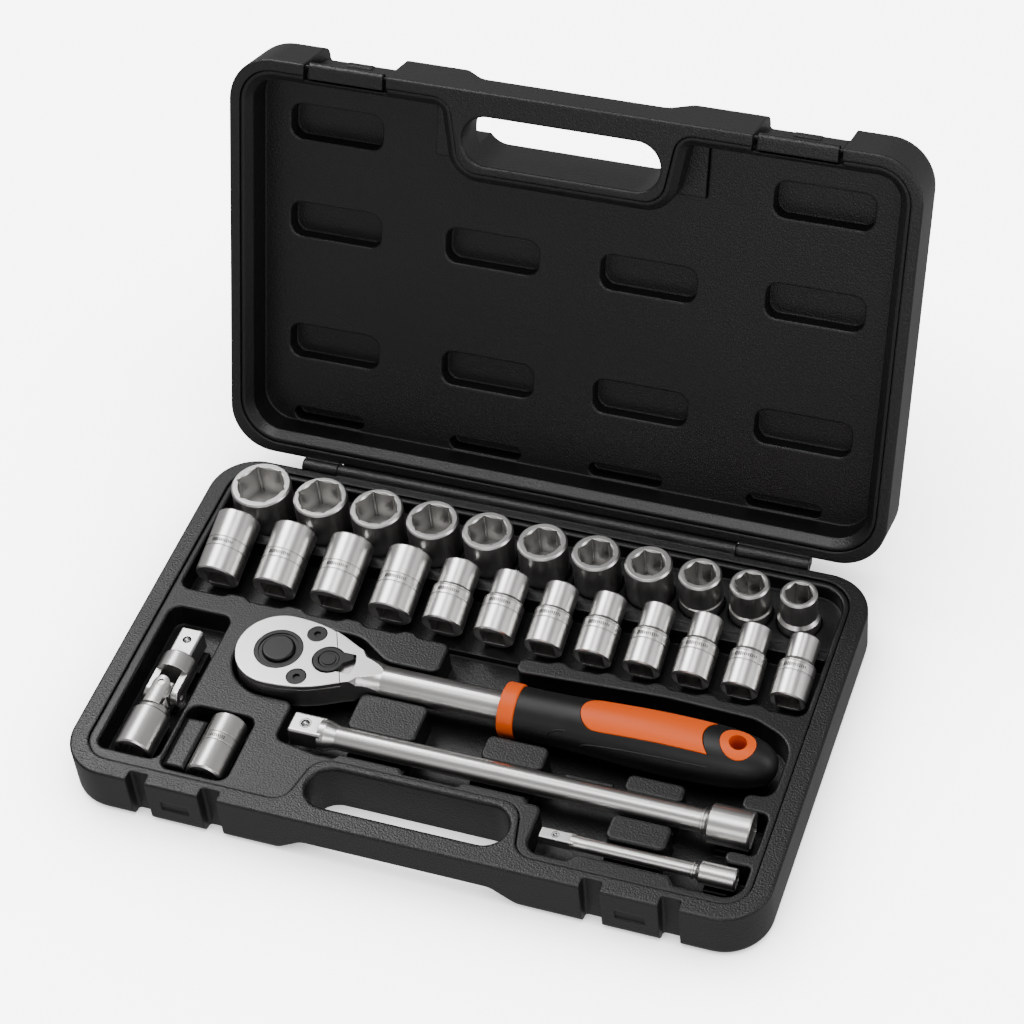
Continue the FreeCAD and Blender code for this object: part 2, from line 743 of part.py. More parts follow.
def joint_pocket():
    """Outline of the universal joint's pocket."""
    end = joint_tip_y - square_length - joint_collar_length - 2 * joint_hub_gap - joint_socket_length
    return Part.Face(rounded_rect(joint_x - 18.5, joint_x + 16, end - 3.0, joint_tip_y + 14.5, 5.5))


def coupler_pocket():
    """Outline of the coupler's pocket."""
    return Part.Face(rounded_rect(coupler_x - 23, coupler_x + 13.5, coupler_y - coupler_length - 2.2,
                                  coupler_y + 3.6, 5.5))


def make_tool_tray():
    """Tray insert: a thin moulded sheet with a pocket for every tool."""
    recess = make_recess_face()
    pockets = [(recess, recess_floor),
               (joint_pocket(), joint_z - joint_socket_radius - seat_gap),
               (coupler_pocket(), coupler_z - coupler_radius - seat_gap)]
    tray = prism(tray_face, tray_top - sheet, tray_top)
    tray = tray.fuse([prism(grown(face, sheet - 0.2), floor - sheet, tray_top - 0.5) for face, floor in pockets])
    wells = []
    cups = []
    for (flats, low, high), x in zip(upright_sockets, upright_places()):
        well = low / 2 + well_clearance
        wells.append(rod(well, base_height, V(x, upright_y, well_floor)))
        cups.append(rod(well + sheet - 0.4, recess_floor - well_floor + 1, V(x, upright_y, well_floor - sheet + 0.2)))
    anvil_well = journal_radius + 1.2
    anvil_floor = head_bottom - anvil_length - seat_gap
    wells.append(rod(anvil_well, base_height, V(ratchet_x, ratchet_y, anvil_floor)))
    cups.append(rod(anvil_well + sheet, recess_floor - anvil_floor + 1, V(ratchet_x, ratchet_y, anvil_floor - sheet)))
    tray = tray.fuse(cups)
    tray = tray.cut([prism(face, floor, tray_top + 1) for face, floor in pockets]).removeSplitter()
    rims = [face.OuterWire for face, floor in pockets] + [w for w in recess.Wires[1:]]
    near = lambda e: min(middle_of(e).distToShape(w)[0] for w in rims) < 1e-3
    tray = tray.makeFillet(tray_edge_round, level_edges(tray, tray_top, near))
    room = prism(recess, recess_floor - 0.5, tray_top)
    shelf = room.common(block(-half_width, half_width, ridge_back_y, half_depth, recess_floor - 0.5, row_shelf))
    bed = room.common(block(-half_width, half_width, 22.0, ridge_back_y + 1, recess_floor - 0.5, bed_floor))
    ridge = room.common(block(-half_width, half_width, ridge_front_y, ridge_back_y, recess_floor - 0.5, ridge_top))
    beds = []
    for (flats, low, high), x in zip(lying_sockets, lying_places()):
        lying = rod(high / 2 + bed_clearance, 80, V(0, 0, -20))
        beds.append(lay_socket(lying, x, low))
    ridge = ridge.cut(beds)
    head_shelf = rod(head_radius - 2, head_bottom - seat_gap - recess_floor + 0.5,
                     V(ratchet_x, ratchet_y, recess_floor - 0.5))
    low_block = block(65, 90, long_bar_y + 7.0, long_bar_y + 14.0, recess_floor - 0.5, 21.0)
    saddles = [head_shelf, low_block]
    for x0, x1 in ((-46, -14), (20, 52), (98, 127)):
        saddles.append(block(x0, x1, long_bar_y - 8, long_bar_y + 7, recess_floor - 0.5,
                             long_bar_z - long_shaft_radius - seat_gap))
    saddles.append(block(148, 162, long_bar_y - 8, long_bar_y + 8, recess_floor - 0.5,
                         long_bar_z - long_socket_radius - seat_gap))
    for x0, x1, radius in ((99, 127, short_shaft_radius), (150, 162, short_socket_radius)):
        saddles.append(block(x0, x1, short_bar_y - 6, short_bar_y + 6, recess_floor - 0.5,
                             short_bar_z - radius - seat_gap))
    rest = block(joint_x - 9, joint_x + 9, joint_tip_y - square_length, joint_tip_y - 4,
                 joint_z - joint_socket_radius - seat_gap - 0.5, joint_z - drive_square / 2 - seat_gap)
    divider = block(coupler_x - 23.5, coupler_x - 11.5, coupler_y - coupler_length + 2, coupler_y - 2,
                    coupler_z - coupler_radius - seat_gap - 0.5, tray_top - 3.5)
    divider = divider.makeFillet(2.0, level_edges(divider, tray_top - 3.5))
    trough = rod(joint_collar_radius + 1.6, 26, V(joint_x - 13, joint_centre_y, joint_z), X_AXIS)
    tray = tray.fuse([shelf, bed, ridge, rest, divider] + saddles).cut(wells + [trough])
    return tray.removeSplitter()


def middle_of(edge):
    """Vertex at the middle of an edge, dropped to height zero."""
    point = edge.valueAt((edge.FirstParameter + edge.LastParameter) / 2)
    return Part.Vertex(V(point.x, point.y, 0))


# Ratchet

def head_outline(extra=0.0):
    """Plan of the head, from its round end to the shank, centred on the gear."""
    r = head_radius + extra
    s = shank_radius + extra
    arc = Part.Arc(V(0, r, 0), V(-r, 0, 0), V(0, -r, 0)).toShape()
    lower = Part.BezierCurve()
    lower.setPoles([V(0, -r, 0), V(34, -r, 0), V(34, -s, 0), V(head_taper, -s, 0)])
    upper = Part.BezierCurve()
    upper.setPoles([V(head_taper, s, 0), V(34, s, 0), V(34, r, 0), V(0, r, 0)])
    end = Part.LineSegment(V(head_taper, -s, 0), V(head_taper, s, 0)).toShape()
    return Part.Wire([arc, lower.toShape(), end, upper.toShape()])


def placed(shape):
    """Ratchet piece moved from the gear's middle to its place in the tray."""
    shape.translate(V(ratchet_x, ratchet_y, 0))
    return shape


cover_bottom = head_top - cover_thickness
gear_bottom = head_bottom + gear_floor
seam_line = [V(27.0, 14.4, 0), V(41.5, -18.0, 0)]


def cover_side(z0, z1, shift):
    """Half space on the gear's side of the cover's slanting edge."""
    run = seam_line[1] - seam_line[0]
    start = seam_line[0] - run * 2 + V(shift, 0, 0)
    stop = seam_line[0] + run * 3 + V(shift, 0, 0)
    corners = [start, stop, V(-200, stop.y, 0), V(-200, start.y, 0), start]
    return prism(Part.makePolygon(corners), z0, z1)


def lever_plan(extra):
    """Round lever with a pointed finger, pivot at the origin, finger along X."""
    disc = rod(lever_radius + extra, 1, V(0, 0, 0))
    reach = lever_tip + extra * 1.6
    base = (lever_radius + extra) * 0.8
    finger = prism(rounded([(0, -base, 0), (reach, -1.6, 0.8), (reach, 1.6, 0.8), (0, base, 0)]), 0, 1)
    return disc.fuse(finger).removeSplitter()


def lever_solid(extra, z0, z1, angle):
    """Lever outline raised between two heights, at its pivot and turned."""
    plan = lever_plan(extra)
    top = [f for f in plan.Faces if abs(f.CenterOfMass.z) < 1e-6][0]
    solid = prism(top, z0, z1)
    solid.rotate(V(0, 0, 0), Z_AXIS, angle)
    solid.translate(V(lever_offset, 0, 0))
    return solid


def lever_room():
    """Recess that the lever sweeps."""
    steps = 8
    turns = [lever_angle - lever_swing * i / steps for i in range(steps + 1)]
    return union([lever_solid(0.6, cover_bottom + 0.9, head_top + 5, a) for a in turns]).removeSplitter()


def gear_cavity():
    """Room in the head for the gear and the pawl."""
    ring = rod(gear_tip_radius + 0.6, cover_bottom - gear_bottom, V(0, 0, gear_bottom))
    pawl_room = rod(pawl_radius + 0.8, cover_bottom - gear_bottom, V(lever_offset, 0, gear_bottom))
    return ring.fuse(pawl_room)


pawl_radius = lever_offset - gear_tip_radius - 0.9


def make_ratchet_body():
    """Forged head and shank, hollowed for the gear, with a tang inside the grip."""
    head = prism(head_outline(), head_bottom, head_top)
    head = head.makeFillet(2.5, level_edges(head, head_bottom, lambda e: e.CenterOfMass.x < head_taper - 1))
    neck = spun([(-40, 0), (-40, 40), (26, 40), (34, 22), (46, 11.0), (head_taper, shank_radius),
                 (head_taper, 0)], V(0, 0, ratchet_axis_z), X_AXIS)
    head = head.common(neck)
    shank_end = collar_start_x + 4 - ratchet_x
    shank = rod(shank_radius, shank_end - 40, V(40, 0, ratchet_axis_z), X_AXIS)
    tang = rod(tang_radius, tang_end_x - ratchet_x - shank_end + 1, V(shank_end - 1, 0, ratchet_axis_z), X_AXIS)
    body = union([head, shank, tang])
    body = body.cut(cover_side(cover_bottom, head_top + 1, 0.15))
    body = body.cut([gear_cavity(), lever_room(),
                     rod(journal_radius + running_fit, 10, V(0, 0, head_bottom - 1)),
                     rod(2.0, 14, V(lever_offset + pawl_radius - 2, 0, (gear_bottom + cover_bottom) / 2), X_AXIS)])
    for side in (-1, 1):
        body = body.cut(rod(screw_shank_radius, 9, V(screw_offset_x, side * screw_offset_y, cover_bottom - 8)))
    return placed(body.removeSplitter())


def make_cover_plate():
    """Cover over the gear, cut off along the slanting seam."""
    plate = prism(head_outline(), cover_bottom, head_top)
    plate = plate.common(cover_side(cover_bottom, head_top, -0.15))
    rim = lambda e: middle_of(e).distToShape(head_outline())[0] < 0.01
    plate = plate.makeFillet(0.6, level_edges(plate, head_top, rim))
    cuts = [rod(collar_radius + 0.2, 10, V(0, 0, cover_bottom - 1)), lever_room(),
            rod(lever_stem_radius + running_fit, 10, V(lever_offset, 0, cover_bottom - 1))]
    for side in (-1, 1):
        cuts.append(rod(screw_head_radius + 0.15, 5, V(screw_offset_x, side * screw_offset_y, head_top - 2.2)))
        cuts.append(rod(screw_shank_radius + 0.1, 10, V(screw_offset_x, side * screw_offset_y, cover_bottom - 1)))
    return placed(plate.cut(cuts).removeSplitter())


def make_cover_screws():
    """Two flush screws that hold the cover."""
    screws = []
    for side in (-1, 1):
        spot = V(screw_offset_x, side * screw_offset_y, 0)
        head = rod(screw_head_radius, 2.0, spot + V(0, 0, head_top - 2.1))
        head = head.makeFillet(0.4, level_edges(head, head_top - 0.1))
        shank = rod(screw_shank_radius - 0.08, 9.0, spot + V(0, 0, head_top - 11.0))
        drive = Part.makePolygon([spot + V(2 * math.cos(math.radians(60 * i)), 2 * math.sin(math.radians(60 * i)), 0)
                                  for i in range(7)])
        screws.append(placed(head.fuse(shank).cut(prism(drive, head_top - 1.3, head_top + 1))))
    return Part.makeCompound(screws)


def make_drive_gear():
    """Ratchet wheel with its journal and the square drive below the head."""
    points = []
    root = gear_tip_radius - gear_tooth_depth
    for i in range(gear_teeth):
        for share, radius in ((0.0, root), (0.35, gear_tip_radius), (0.65, gear_tip_radius)):
            angle = 2 * math.pi * (i + share) / gear_teeth
            points.append(V(radius * math.cos(angle), radius * math.sin(angle), 0))
    wheel = prism(Part.makePolygon(points + [points[0]]), gear_bottom + gear_play, cover_bottom - gear_play)
    journal = rod(journal_radius, gear_floor + gear_play + 0.5, V(0, 0, head_bottom))
    half = drive_square / 2
    anvil = prism(rounded_rect(-half, half, -half, half, square_corner), head_bottom - anvil_length, head_bottom + 1)
    anvil = anvil.makeChamfer(0.8, level_edges(anvil, head_bottom - anvil_length))
    gear = union([wheel, journal, anvil]).removeSplitter()
    stem_bore = rod(stem_radius + running_fit, head_top, V(0, 0, ball_height() - 3.5))
    pocket = rod(button_radius + running_fit, 20, V(0, 0, gear_bottom + 4.0))
    ball_hole = rod(ball_radius + 0.1, half + 1, V(0, 0, ball_height()), X_AXIS)
    return placed(gear.cut([stem_bore, pocket, ball_hole]))


def ball_height():
    """Height of the detent ball on the ratchet's square."""
    return head_bottom - anvil_length * 0.55


def make_gear_collar():
    """Black ring on the gear that fills the cover's opening."""
    base = cover_bottom - gear_play
    ring = rod(collar_radius, head_top - base, V(0, 0, base)).cut(rod(button_radius + running_fit, 20, V(0, 0, base - 1)))
    step = rod(collar_radius - 2.0, 5, V(0, 0, head_top - 0.6))
    return placed(ring.cut(step))


def make_release_button():
    """Push button with the stem that frees the detent ball."""
    low = cover_bottom
    cap = rod(button_radius, head_top + button_stand - low, V(0, 0, low))
    cap = cap.makeFillet(1.2, level_edges(cap, head_top + button_stand))
    stem = rod(stem_radius, low + 1 - ball_height() - ball_radius - 0.6 - button_travel,
               V(0, 0, ball_height() + ball_radius + 0.6 + button_travel))
    return placed(cap.fuse(stem).removeSplitter())


def make_release_spring():
    """Coil spring under the release button."""
    floor = gear_bottom + 4.0
    height = cover_bottom - floor - 2 * spring_wire - 0.4
    spring = helix_spring(5.0, 2.1, height, spring_wire, V(0, 0, floor + spring_wire + 0.2))
    return placed(spring)


def make_drive_ball():
    """Detent ball in the ratchet's square."""
    return placed(Part.makeSphere(ball_radius, V(drive_square / 2 + ball_stand - ball_radius, 0, ball_height())))


def make_direction_lever():
    """Reversing lever with its stem."""
    low = cover_bottom + 1.2
    lever = lever_solid(0, low, head_top + lever_stand, lever_angle)
    lever = lever.makeFillet(0.5, level_edges(lever, head_top + lever_stand))
    dish = Part.makeCone(lever_radius * 0.62, lever_radius * 0.7, 0.6, V(lever_offset, 0, head_top + lever_stand - 0.5))
    knob = rod(lever_radius * 0.45, 0.5, V(lever_offset, 0, head_top + lever_stand - 0.5))
    stem = rod(lever_stem_radius, low - gear_bottom - 0.5 + 0.5, V(lever_offset, 0, gear_bottom + 0.5))
    return placed(union([lever.cut(dish), knob, stem]).removeSplitter())


def make_pawl():
    """Two-sided pawl keyed to the lever's stem."""
    height = cover_bottom - gear_bottom - 2 * gear_play
    pawl = rod(pawl_radius, height, V(lever_offset, 0, gear_bottom + gear_play))
    pawl = pawl.cut(block(lever_offset, lever_offset + 40, -30, 30, 0, 60))
    pawl = pawl.fuse(rod(pawl_hub_radius, height, V(lever_offset, 0, gear_bottom + gear_play))).removeSplitter()
    pitch = 2 * math.pi * gear_tip_radius / gear_teeth
    for side in (-1, 1):
        for i in range(3):
            angle = math.pi + side * (0.22 + i * pitch / pawl_radius)
            spot = V(lever_offset + pawl_radius * math.cos(angle), pawl_radius * math.sin(angle), 0)
            pawl = pawl.cut(rod(0.8, 60, spot))
    stem = rod(lever_stem_radius, 60, V(lever_offset, 0, 0))
    return placed(pawl.cut(stem))


def make_pawl_plunger():
    """Detent ball behind the pawl."""
    height = (gear_bottom + cover_bottom) / 2
    return placed(Part.makeSphere(1.9, V(lever_offset + pawl_hub_radius + 2.0, 0, height)))


def make_pawl_spring():
    """Coil spring that pushes the detent ball against the pawl."""
    height = (gear_bottom + cover_bottom) / 2
    length = 11.0
    spring = helix_spring(1.4, 1.3, length, 0.3, V(0, 0, 0))
    spring.rotate(V(0, 0, 0), Y_AXIS, 90)
    spring.translate(V(lever_offset + pawl_hub_radius + 4.3, 0, height))
    return placed(spring)


def grip_solid(extra=0.0):
    """Turned body of the grip, slimmer at the collar and swelling to the hand."""
    length = grip_end_x - grip_start_x
    neck = grip_neck_radius + extra
    swell = grip_radius + extra
    start = V(0, 0, 0)
    side = Part.BezierCurve()
    side.setPoles([V(0, neck, 0), V(length * 0.30, neck - 0.4, 0), V(length * 0.42, swell + 0.6, 0),
                   V(length * 0.66, swell, 0)])
    tail = Part.BezierCurve()
    tail.setPoles([V(length * 0.66, swell, 0), V(length * 0.86, swell - 0.5, 0), V(length + extra, swell * 0.86, 0),
                   V(length + extra, 0, 0)])
    foot = Part.LineSegment(V(length + extra, 0, 0), start).toShape()
    face_edge = Part.LineSegment(start, V(0, neck, 0)).toShape()
    face = Part.Face(Part.Wire([face_edge, side.toShape(), tail.toShape(), foot]))
    solid = face.revolve(start, X_AXIS, 360)
    solid.translate(V(grip_start_x, ratchet_y, ratchet_axis_z))
    return solid


def insert_plan(extra=0.0):
    """Plan of the coloured panel: round at the shank end, hollowed at the eyelet end."""
    w = insert_half_width + extra
    x0 = insert_start_x - extra
    x1 = insert_end_x + 2 * extra
    tip = Part.Arc(V(x0 + 9, w, 0), V(x0, 0, 0), V(x0 + 9, -w, 0)).toShape()
    lower = Part.LineSegment(V(x0 + 9, -w, 0), V(x1, -w, 0)).toShape()
    hollow = Part.Arc(V(x1, -w, 0), V(x1 - 4.5, 0, 0), V(x1, w, 0)).toShape()
    upper = Part.LineSegment(V(x1, w, 0), V(x0 + 9, w, 0)).toShape()
    wire = Part.Wire([tip, lower, hollow, upper])
    wire.translate(V(0, ratchet_y, 0))
    return wire


def make_handle_grip():
    """Moulded grip, with the places for the panel and the eyelet."""
    grip = grip_solid()
    bore_length = tang_end_x - grip_start_x + 1
    bore = rod(tang_radius + running_fit, bore_length, V(grip_start_x - 0.5, ratchet_y, ratchet_axis_z), X_AXIS)
    panel = prism(insert_plan(0.15), ratchet_axis_z + insert_floor, ratchet_axis_z + 30)
    eyelet = rod(eyelet_radius + 0.1, 60, V(eyelet_x, ratchet_y, 0))
    return grip.cut([bore, panel, eyelet])


def make_grip_panel():
    """Coloured panel let into the top of the grip."""
    panel = prism(insert_plan(-0.1), ratchet_axis_z + insert_floor + 0.1, ratchet_axis_z + 30)
    return panel.common(grip_solid(insert_stand))


def make_hang_eyelet():
    """Coloured tube through the end of the grip."""
    tube = rod(eyelet_radius, 60, V(eyelet_x, ratchet_y, 0)).common(grip_solid(insert_stand))
    return tube.cut(rod(eyelet_hole_radius, 60, V(eyelet_x, ratchet_y, 0)))


def make_grip_collar():
    """Coloured ring between shank and grip."""
    ring = rod(collar_ring_radius, grip_start_x - collar_start_x - 0.1, V(collar_start_x, ratchet_y, ratchet_axis_z),
               X_AXIS)
    ring = ring.makeFillet(1.2, [e for e in ring.Edges if e.Closed])
    shank_hole = rod(shank_radius + running_fit, 4.0, V(collar_start_x, ratchet_y, ratchet_axis_z), X_AXIS)
    tang_hole = rod(tang_radius + running_fit, 30, V(collar_start_x, ratchet_y, ratchet_axis_z), X_AXIS)
    return ring.cut([shank_hole, tang_hole])


# Bars, universal joint and coupler

def square_along(size, length, start, axis):
    """Square drive end with round corners, lying along X or Y."""
    half = size / 2
    bar = prism(rounded_rect(-half, half, -half, half, size * 0.11), 0, length)
    bar = bar.makeChamfer(size * 0.08, level_edges(bar, 0))
    if axis == "x":
        bar.rotate(V(0, 0, 0), Y_AXIS, 90)
    else:
        bar.rotate(V(0, 0, 0), X_AXIS, 90)
    bar.translate(start)
    return bar


def drive_bar(x, length, y, z, square, shaft, end_radius, end_length):
    """Extension bar along X: square end to the left, socket end to the right."""
    neck = square_length
    socket_start = length - end_length
    points = [(neck - 2, 0), (neck - 2, square * 0.62), (neck + 1.5, square * 0.62), (neck + 7, shaft),
              (socket_start - 2.2, shaft), (socket_start - 2.2, shaft + 0.5), (socket_start - 1.2, shaft + 0.5),
              (socket_start - 1.2, shaft), (socket_start, shaft), (socket_start + 2.2, end_radius),
              (length - 0.7, end_radius), (length, end_radius - 0.7), (length, 0)]
    origin = V(x, y, z)
    bar = spun(points, origin, X_AXIS).fuse(square_along(square, neck, origin, "x"))
    hole = square_along(square + square_clearance, length, V(0, 0, 0), "x")
    hole.translate(V(x + length - end_length * 0.7, y, z))
    ball_hole = rod(ball_size(square) + 0.1, square, V(x + neck * 0.45, y, z + square * 0.1))
    return bar.cut([hole, ball_hole])


def ball_size(square):
    """Detent ball's radius for a drive size."""
    return ball_radius * square / drive_square


def bar_ball(x, y, z, square):
    """Detent ball in the top of a bar's square end."""
    radius = ball_size(square)
    stand = ball_stand * square / drive_square
    return Part.makeSphere(radius, V(x + square_length * 0.45, y, z + square / 2 + stand - radius))


joint_centre_y = joint_tip_y - square_length - joint_collar_length - joint_hub_gap


def joint_arms(radius, sideways, reach):
    """Two arms of a yoke, from the cross to its hub along +Y, centred on the cross."""
    inner = cross_half + arm_play
    arms = []
    for side in (-1, 1):
        low = min(side * inner, side * radius)
        high = max(side * inner, side * radius)
        if sideways:
            bar = block(low, high, 0, reach + 1, -arm_half, arm_half)
            eye = rod(arm_half, high - low, V(low, 0, 0), X_AXIS)
        else:
            bar = block(-arm_half, arm_half, 0, reach + 1, low, high)
            eye = rod(arm_half, high - low, V(0, 0, low), Z_AXIS)
        arms.append(bar.fuse(eye))
    limit = rod(radius, reach + 1 + arm_half + 1, V(0, -arm_half - 1, 0), Y_AXIS)
    return union(arms).common(limit)


def at_joint(shape):
    """Universal joint piece moved to its place."""
    shape.translate(V(joint_x, joint_centre_y, joint_z))
    return shape


def make_joint_drive():
    """Driving yoke: square end, collar and two arms at the sides."""
    collar = rod(joint_collar_radius, joint_collar_length, V(0, joint_hub_gap, 0), Y_AXIS)
    collar = collar.makeFillet(1.0, [e for e in collar.Edges if e.Closed and e.CenterOfMass.y > joint_hub_gap + 1])
    tip = joint_hub_gap + joint_collar_length + square_length
    square = square_along(drive_square, square_length + 2, V(0, tip, 0), "y")
    yoke = union([joint_arms(joint_collar_radius, True, joint_hub_gap), collar, square]).removeSplitter()
    bore = rod(cross_pin_radius + running_fit, 40, V(-20, 0, 0), X_AXIS)
    ball_hole = rod(ball_radius + 0.1, 20, V(0, tip - square_length * 0.45, drive_square * 0.1))
    return at_joint(yoke.cut([bore, ball_hole]))


def make_joint_socket():
    """Driven yoke: two arms above and below, hub and square socket."""
    reach = joint_hub_gap
    arms = turned(joint_arms(joint_collar_radius, False, reach), 180, V(0, 0, 0), Z_AXIS)
    end = -reach - joint_socket_length
    points = [(reach, 0), (reach, joint_collar_radius - 1.2), (reach + 3, joint_collar_radius - 1.2),
              (reach + 4.5, joint_socket_radius), (-end - 0.8, joint_socket_radius),
              (-end, joint_socket_radius - 0.8), (-end, 0)]
    hub = spun(points, V(0, 0, 0), V(0, -1, 0))
    hole = square_along(drive_square + square_clearance, 40, V(0, end + 17, 0), "y")
    bore = rod(cross_pin_radius + running_fit, 40, V(0, 0, -20))
    return at_joint(arms.fuse(hub).removeSplitter().cut([hole, bore]))


def make_joint_cross():
    """Cross block with its two pins."""
    cube = block(-cross_half, cross_half, -cross_half, cross_half, -cross_half, cross_half)
    cube = cube.makeFillet(1.0, cube.Edges)
    reach = joint_collar_radius - 0.8
    pins = [rod(cross_pin_radius, 2 * reach, V(-reach, 0, 0), X_AXIS), rod(cross_pin_radius, 2 * reach, V(0, 0, -reach))]
    return at_joint(union([cube] + pins).removeSplitter())


def make_joint_ball():
    """Detent ball in the top of the joint's square."""
    tip = joint_hub_gap + joint_collar_length + square_length
    return at_joint(Part.makeSphere(ball_radius, V(0, tip - square_length * 0.45,
                                                   drive_square / 2 + ball_stand - ball_radius)))


def make_coupler():
    """Reducing coupler: large square at one end, small square at the other."""
    body = spun([(0, 0), (0, coupler_radius - 0.9), (0.9, coupler_radius), (coupler_length - 0.9, coupler_radius),
                 (coupler_length, coupler_radius - 0.9), (coupler_length, 0)], V(0, 0, 0), Z_AXIS)
    large = square_hole(drive_square, drive_hole_depth)
    half = (small_square + square_clearance) / 2
    small = prism(rounded_rect(-half, half, -half, half, 0.8), coupler_length - 11, coupler_length + 1)
    through = rod(2.6, coupler_length, V(0, 0, 0))
    rings = [rod(coupler_radius + 1, 0.5, V(0, 0, h)).cut(rod(coupler_radius - 0.2, 0.5, V(0, 0, h)))
             for h in (coupler_length * 0.5, coupler_length * 0.5 + 5.2)]
    body = body.cut([large, small, through] + rings)
    body.rotate(V(0, 0, 0), X_AXIS, -90)
    body.translate(V(coupler_x, coupler_y - coupler_length, coupler_z))
    return body


def make_pieces():
    """Every piece of the set by name, in the open rest pose."""
    pieces = {
        "case_base": make_case_base(),
        "tool_tray": make_tool_tray(),
        "case_lid": make_case_lid(),
        "lid_liner": make_lid_liner(),
        "hinge_pin": rod(pin_radius, hinge_right_end - hinge_left_end - 2,
                         V(hinge_left_end + 1, hinge_y, hinge_z), X_AXIS),
        "latch_left": opened(make_latch(-1)),
        "latch_right": opened(make_latch(1)),
        "latch_pins": Part.makeCompound([opened(latch_pin(side)) for side in (-1, 1)]),
        "ratchet_body": make_ratchet_body(),
        "cover_plate": make_cover_plate(),
        "cover_screws": make_cover_screws(),
        "drive_gear": make_drive_gear(),
        "gear_collar": make_gear_collar(),
        "release_button": make_release_button(),
        "release_spring": make_release_spring(),
        "drive_ball": make_drive_ball(),
        "direction_lever": make_direction_lever(),
        "pawl": make_pawl(),
        "pawl_ball": make_pawl_plunger(),
        "pawl_spring": make_pawl_spring(),
        "handle_grip": make_handle_grip(),
        "grip_panel": make_grip_panel(),
        "grip_collar": make_grip_collar(),
        "hang_eyelet": make_hang_eyelet(),
        "long_extension": drive_bar(long_bar_x, long_bar_length, long_bar_y, long_bar_z, drive_square,
                                    long_shaft_radius, long_socket_radius, long_socket_length),
        "long_extension_ball": bar_ball(long_bar_x, long_bar_y, long_bar_z, drive_square),
        "short_extension": drive_bar(short_bar_x, short_bar_length, short_bar_y, short_bar_z, small_square,
                                     short_shaft_radius, short_socket_radius, short_socket_length),
        "short_extension_ball": bar_ball(short_bar_x, short_bar_y, short_bar_z, small_square),
        "joint_drive_yoke": make_joint_drive(),
        "joint_cross": make_joint_cross(),
        "joint_socket_yoke": make_joint_socket(),
        "joint_ball": make_joint_ball(),
        "reducing_coupler": make_coupler(),
    }
    for (flats, low, high), x in zip(upright_sockets, upright_places()):
        socket = socket_solid(flats, low, high, socket_height, False)
        socket.translate(V(x, upright_y, well_floor + seat_gap))
        pieces["upright_socket_%dmm" % flats] = socket
    for (flats, low, high), x in zip(lying_sockets, lying_places()):
        pieces["lying_socket_%dmm" % flats] = lay_socket(socket_solid(flats, low, high, lying_length, True), x, low)
    return pieces


def main():
    """Writes every piece to its own file."""
    os.makedirs("parts", exist_ok=True)
    for name, shape in make_pieces().items():
        shape.exportStep("parts/%s.step" % name)
        print(name, round(shape.Volume / 1000, 2), "cm3", len(shape.Solids), shape.isValid())


main()
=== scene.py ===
"""Looks for a socket wrench set in a hinged carrying case, dressed over its CAD frame."""

from __future__ import annotations

import json
import logging
import math
from collections.abc import Iterable
from dataclasses import dataclass
from enum import Enum

import bmesh
import bpy
from mathutils import Matrix, Vector
from mathutils.bvhtree import BVHTree

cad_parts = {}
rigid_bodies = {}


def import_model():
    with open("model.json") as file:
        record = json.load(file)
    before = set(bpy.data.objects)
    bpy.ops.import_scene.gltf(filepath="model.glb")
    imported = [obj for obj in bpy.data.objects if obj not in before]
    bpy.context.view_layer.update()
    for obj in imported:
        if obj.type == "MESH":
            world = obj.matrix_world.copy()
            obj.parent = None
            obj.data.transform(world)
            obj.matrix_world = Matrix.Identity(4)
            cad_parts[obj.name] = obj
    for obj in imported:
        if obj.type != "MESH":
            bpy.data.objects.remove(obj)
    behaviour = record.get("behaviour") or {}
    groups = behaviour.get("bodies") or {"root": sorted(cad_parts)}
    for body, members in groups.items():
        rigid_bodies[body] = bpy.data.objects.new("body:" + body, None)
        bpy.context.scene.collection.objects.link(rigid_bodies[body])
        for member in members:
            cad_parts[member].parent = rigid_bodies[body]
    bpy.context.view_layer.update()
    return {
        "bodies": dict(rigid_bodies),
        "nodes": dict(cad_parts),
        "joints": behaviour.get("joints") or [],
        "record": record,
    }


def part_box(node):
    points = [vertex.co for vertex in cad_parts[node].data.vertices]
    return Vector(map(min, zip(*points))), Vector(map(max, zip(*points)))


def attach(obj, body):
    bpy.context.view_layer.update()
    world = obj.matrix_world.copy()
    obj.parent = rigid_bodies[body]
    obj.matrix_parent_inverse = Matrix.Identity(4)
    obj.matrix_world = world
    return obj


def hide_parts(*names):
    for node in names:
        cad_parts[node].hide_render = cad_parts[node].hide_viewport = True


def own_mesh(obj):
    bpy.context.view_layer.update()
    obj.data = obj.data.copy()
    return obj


LOG = logging.getLogger("socket_set")
MM = 0.001


class Slot(str, Enum):
    """Material slots of the record."""

    CASE = "case_plastic"
    INSERT = "insert_plastic"
    PIN = "pin_steel"
    CHROME = "tool_chrome"
    BLACK = "black_steel"
    RUBBER = "grip_rubber"
    ACCENT = "accent_plastic"


@dataclass(frozen=True)
class Finish:
    """How a surface looks.

    Attributes:
        color: Linear base colour.
        roughness: Middle roughness.
        metallic: Share of metal.
        spread: How far roughness and colour wander.
        grain_mm: Size of the fine grain, or of the brushing.
        grain_height_mm: Height of the grain.
        wander_mm: Size of the broad, slow changes.
        edge_mm: Radius that sharp edges are softened by.
        shine: Strength of the plain reflection of what isn't metal.
        painted_shade: How strongly painted shade darkens the colour in corners and hollows.
    """

    color: tuple[float, float, float]
    roughness: float
    metallic: float = 0.0
    spread: float = 0.06
    grain_mm: float = 0.5
    grain_height_mm: float = 0.01
    wander_mm: float = 60.0
    edge_mm: float = 0.5
    shine: float = 0.5
    # Strength of the painted shade that darkens corners and hollows.
    painted_shade: float = 0.3


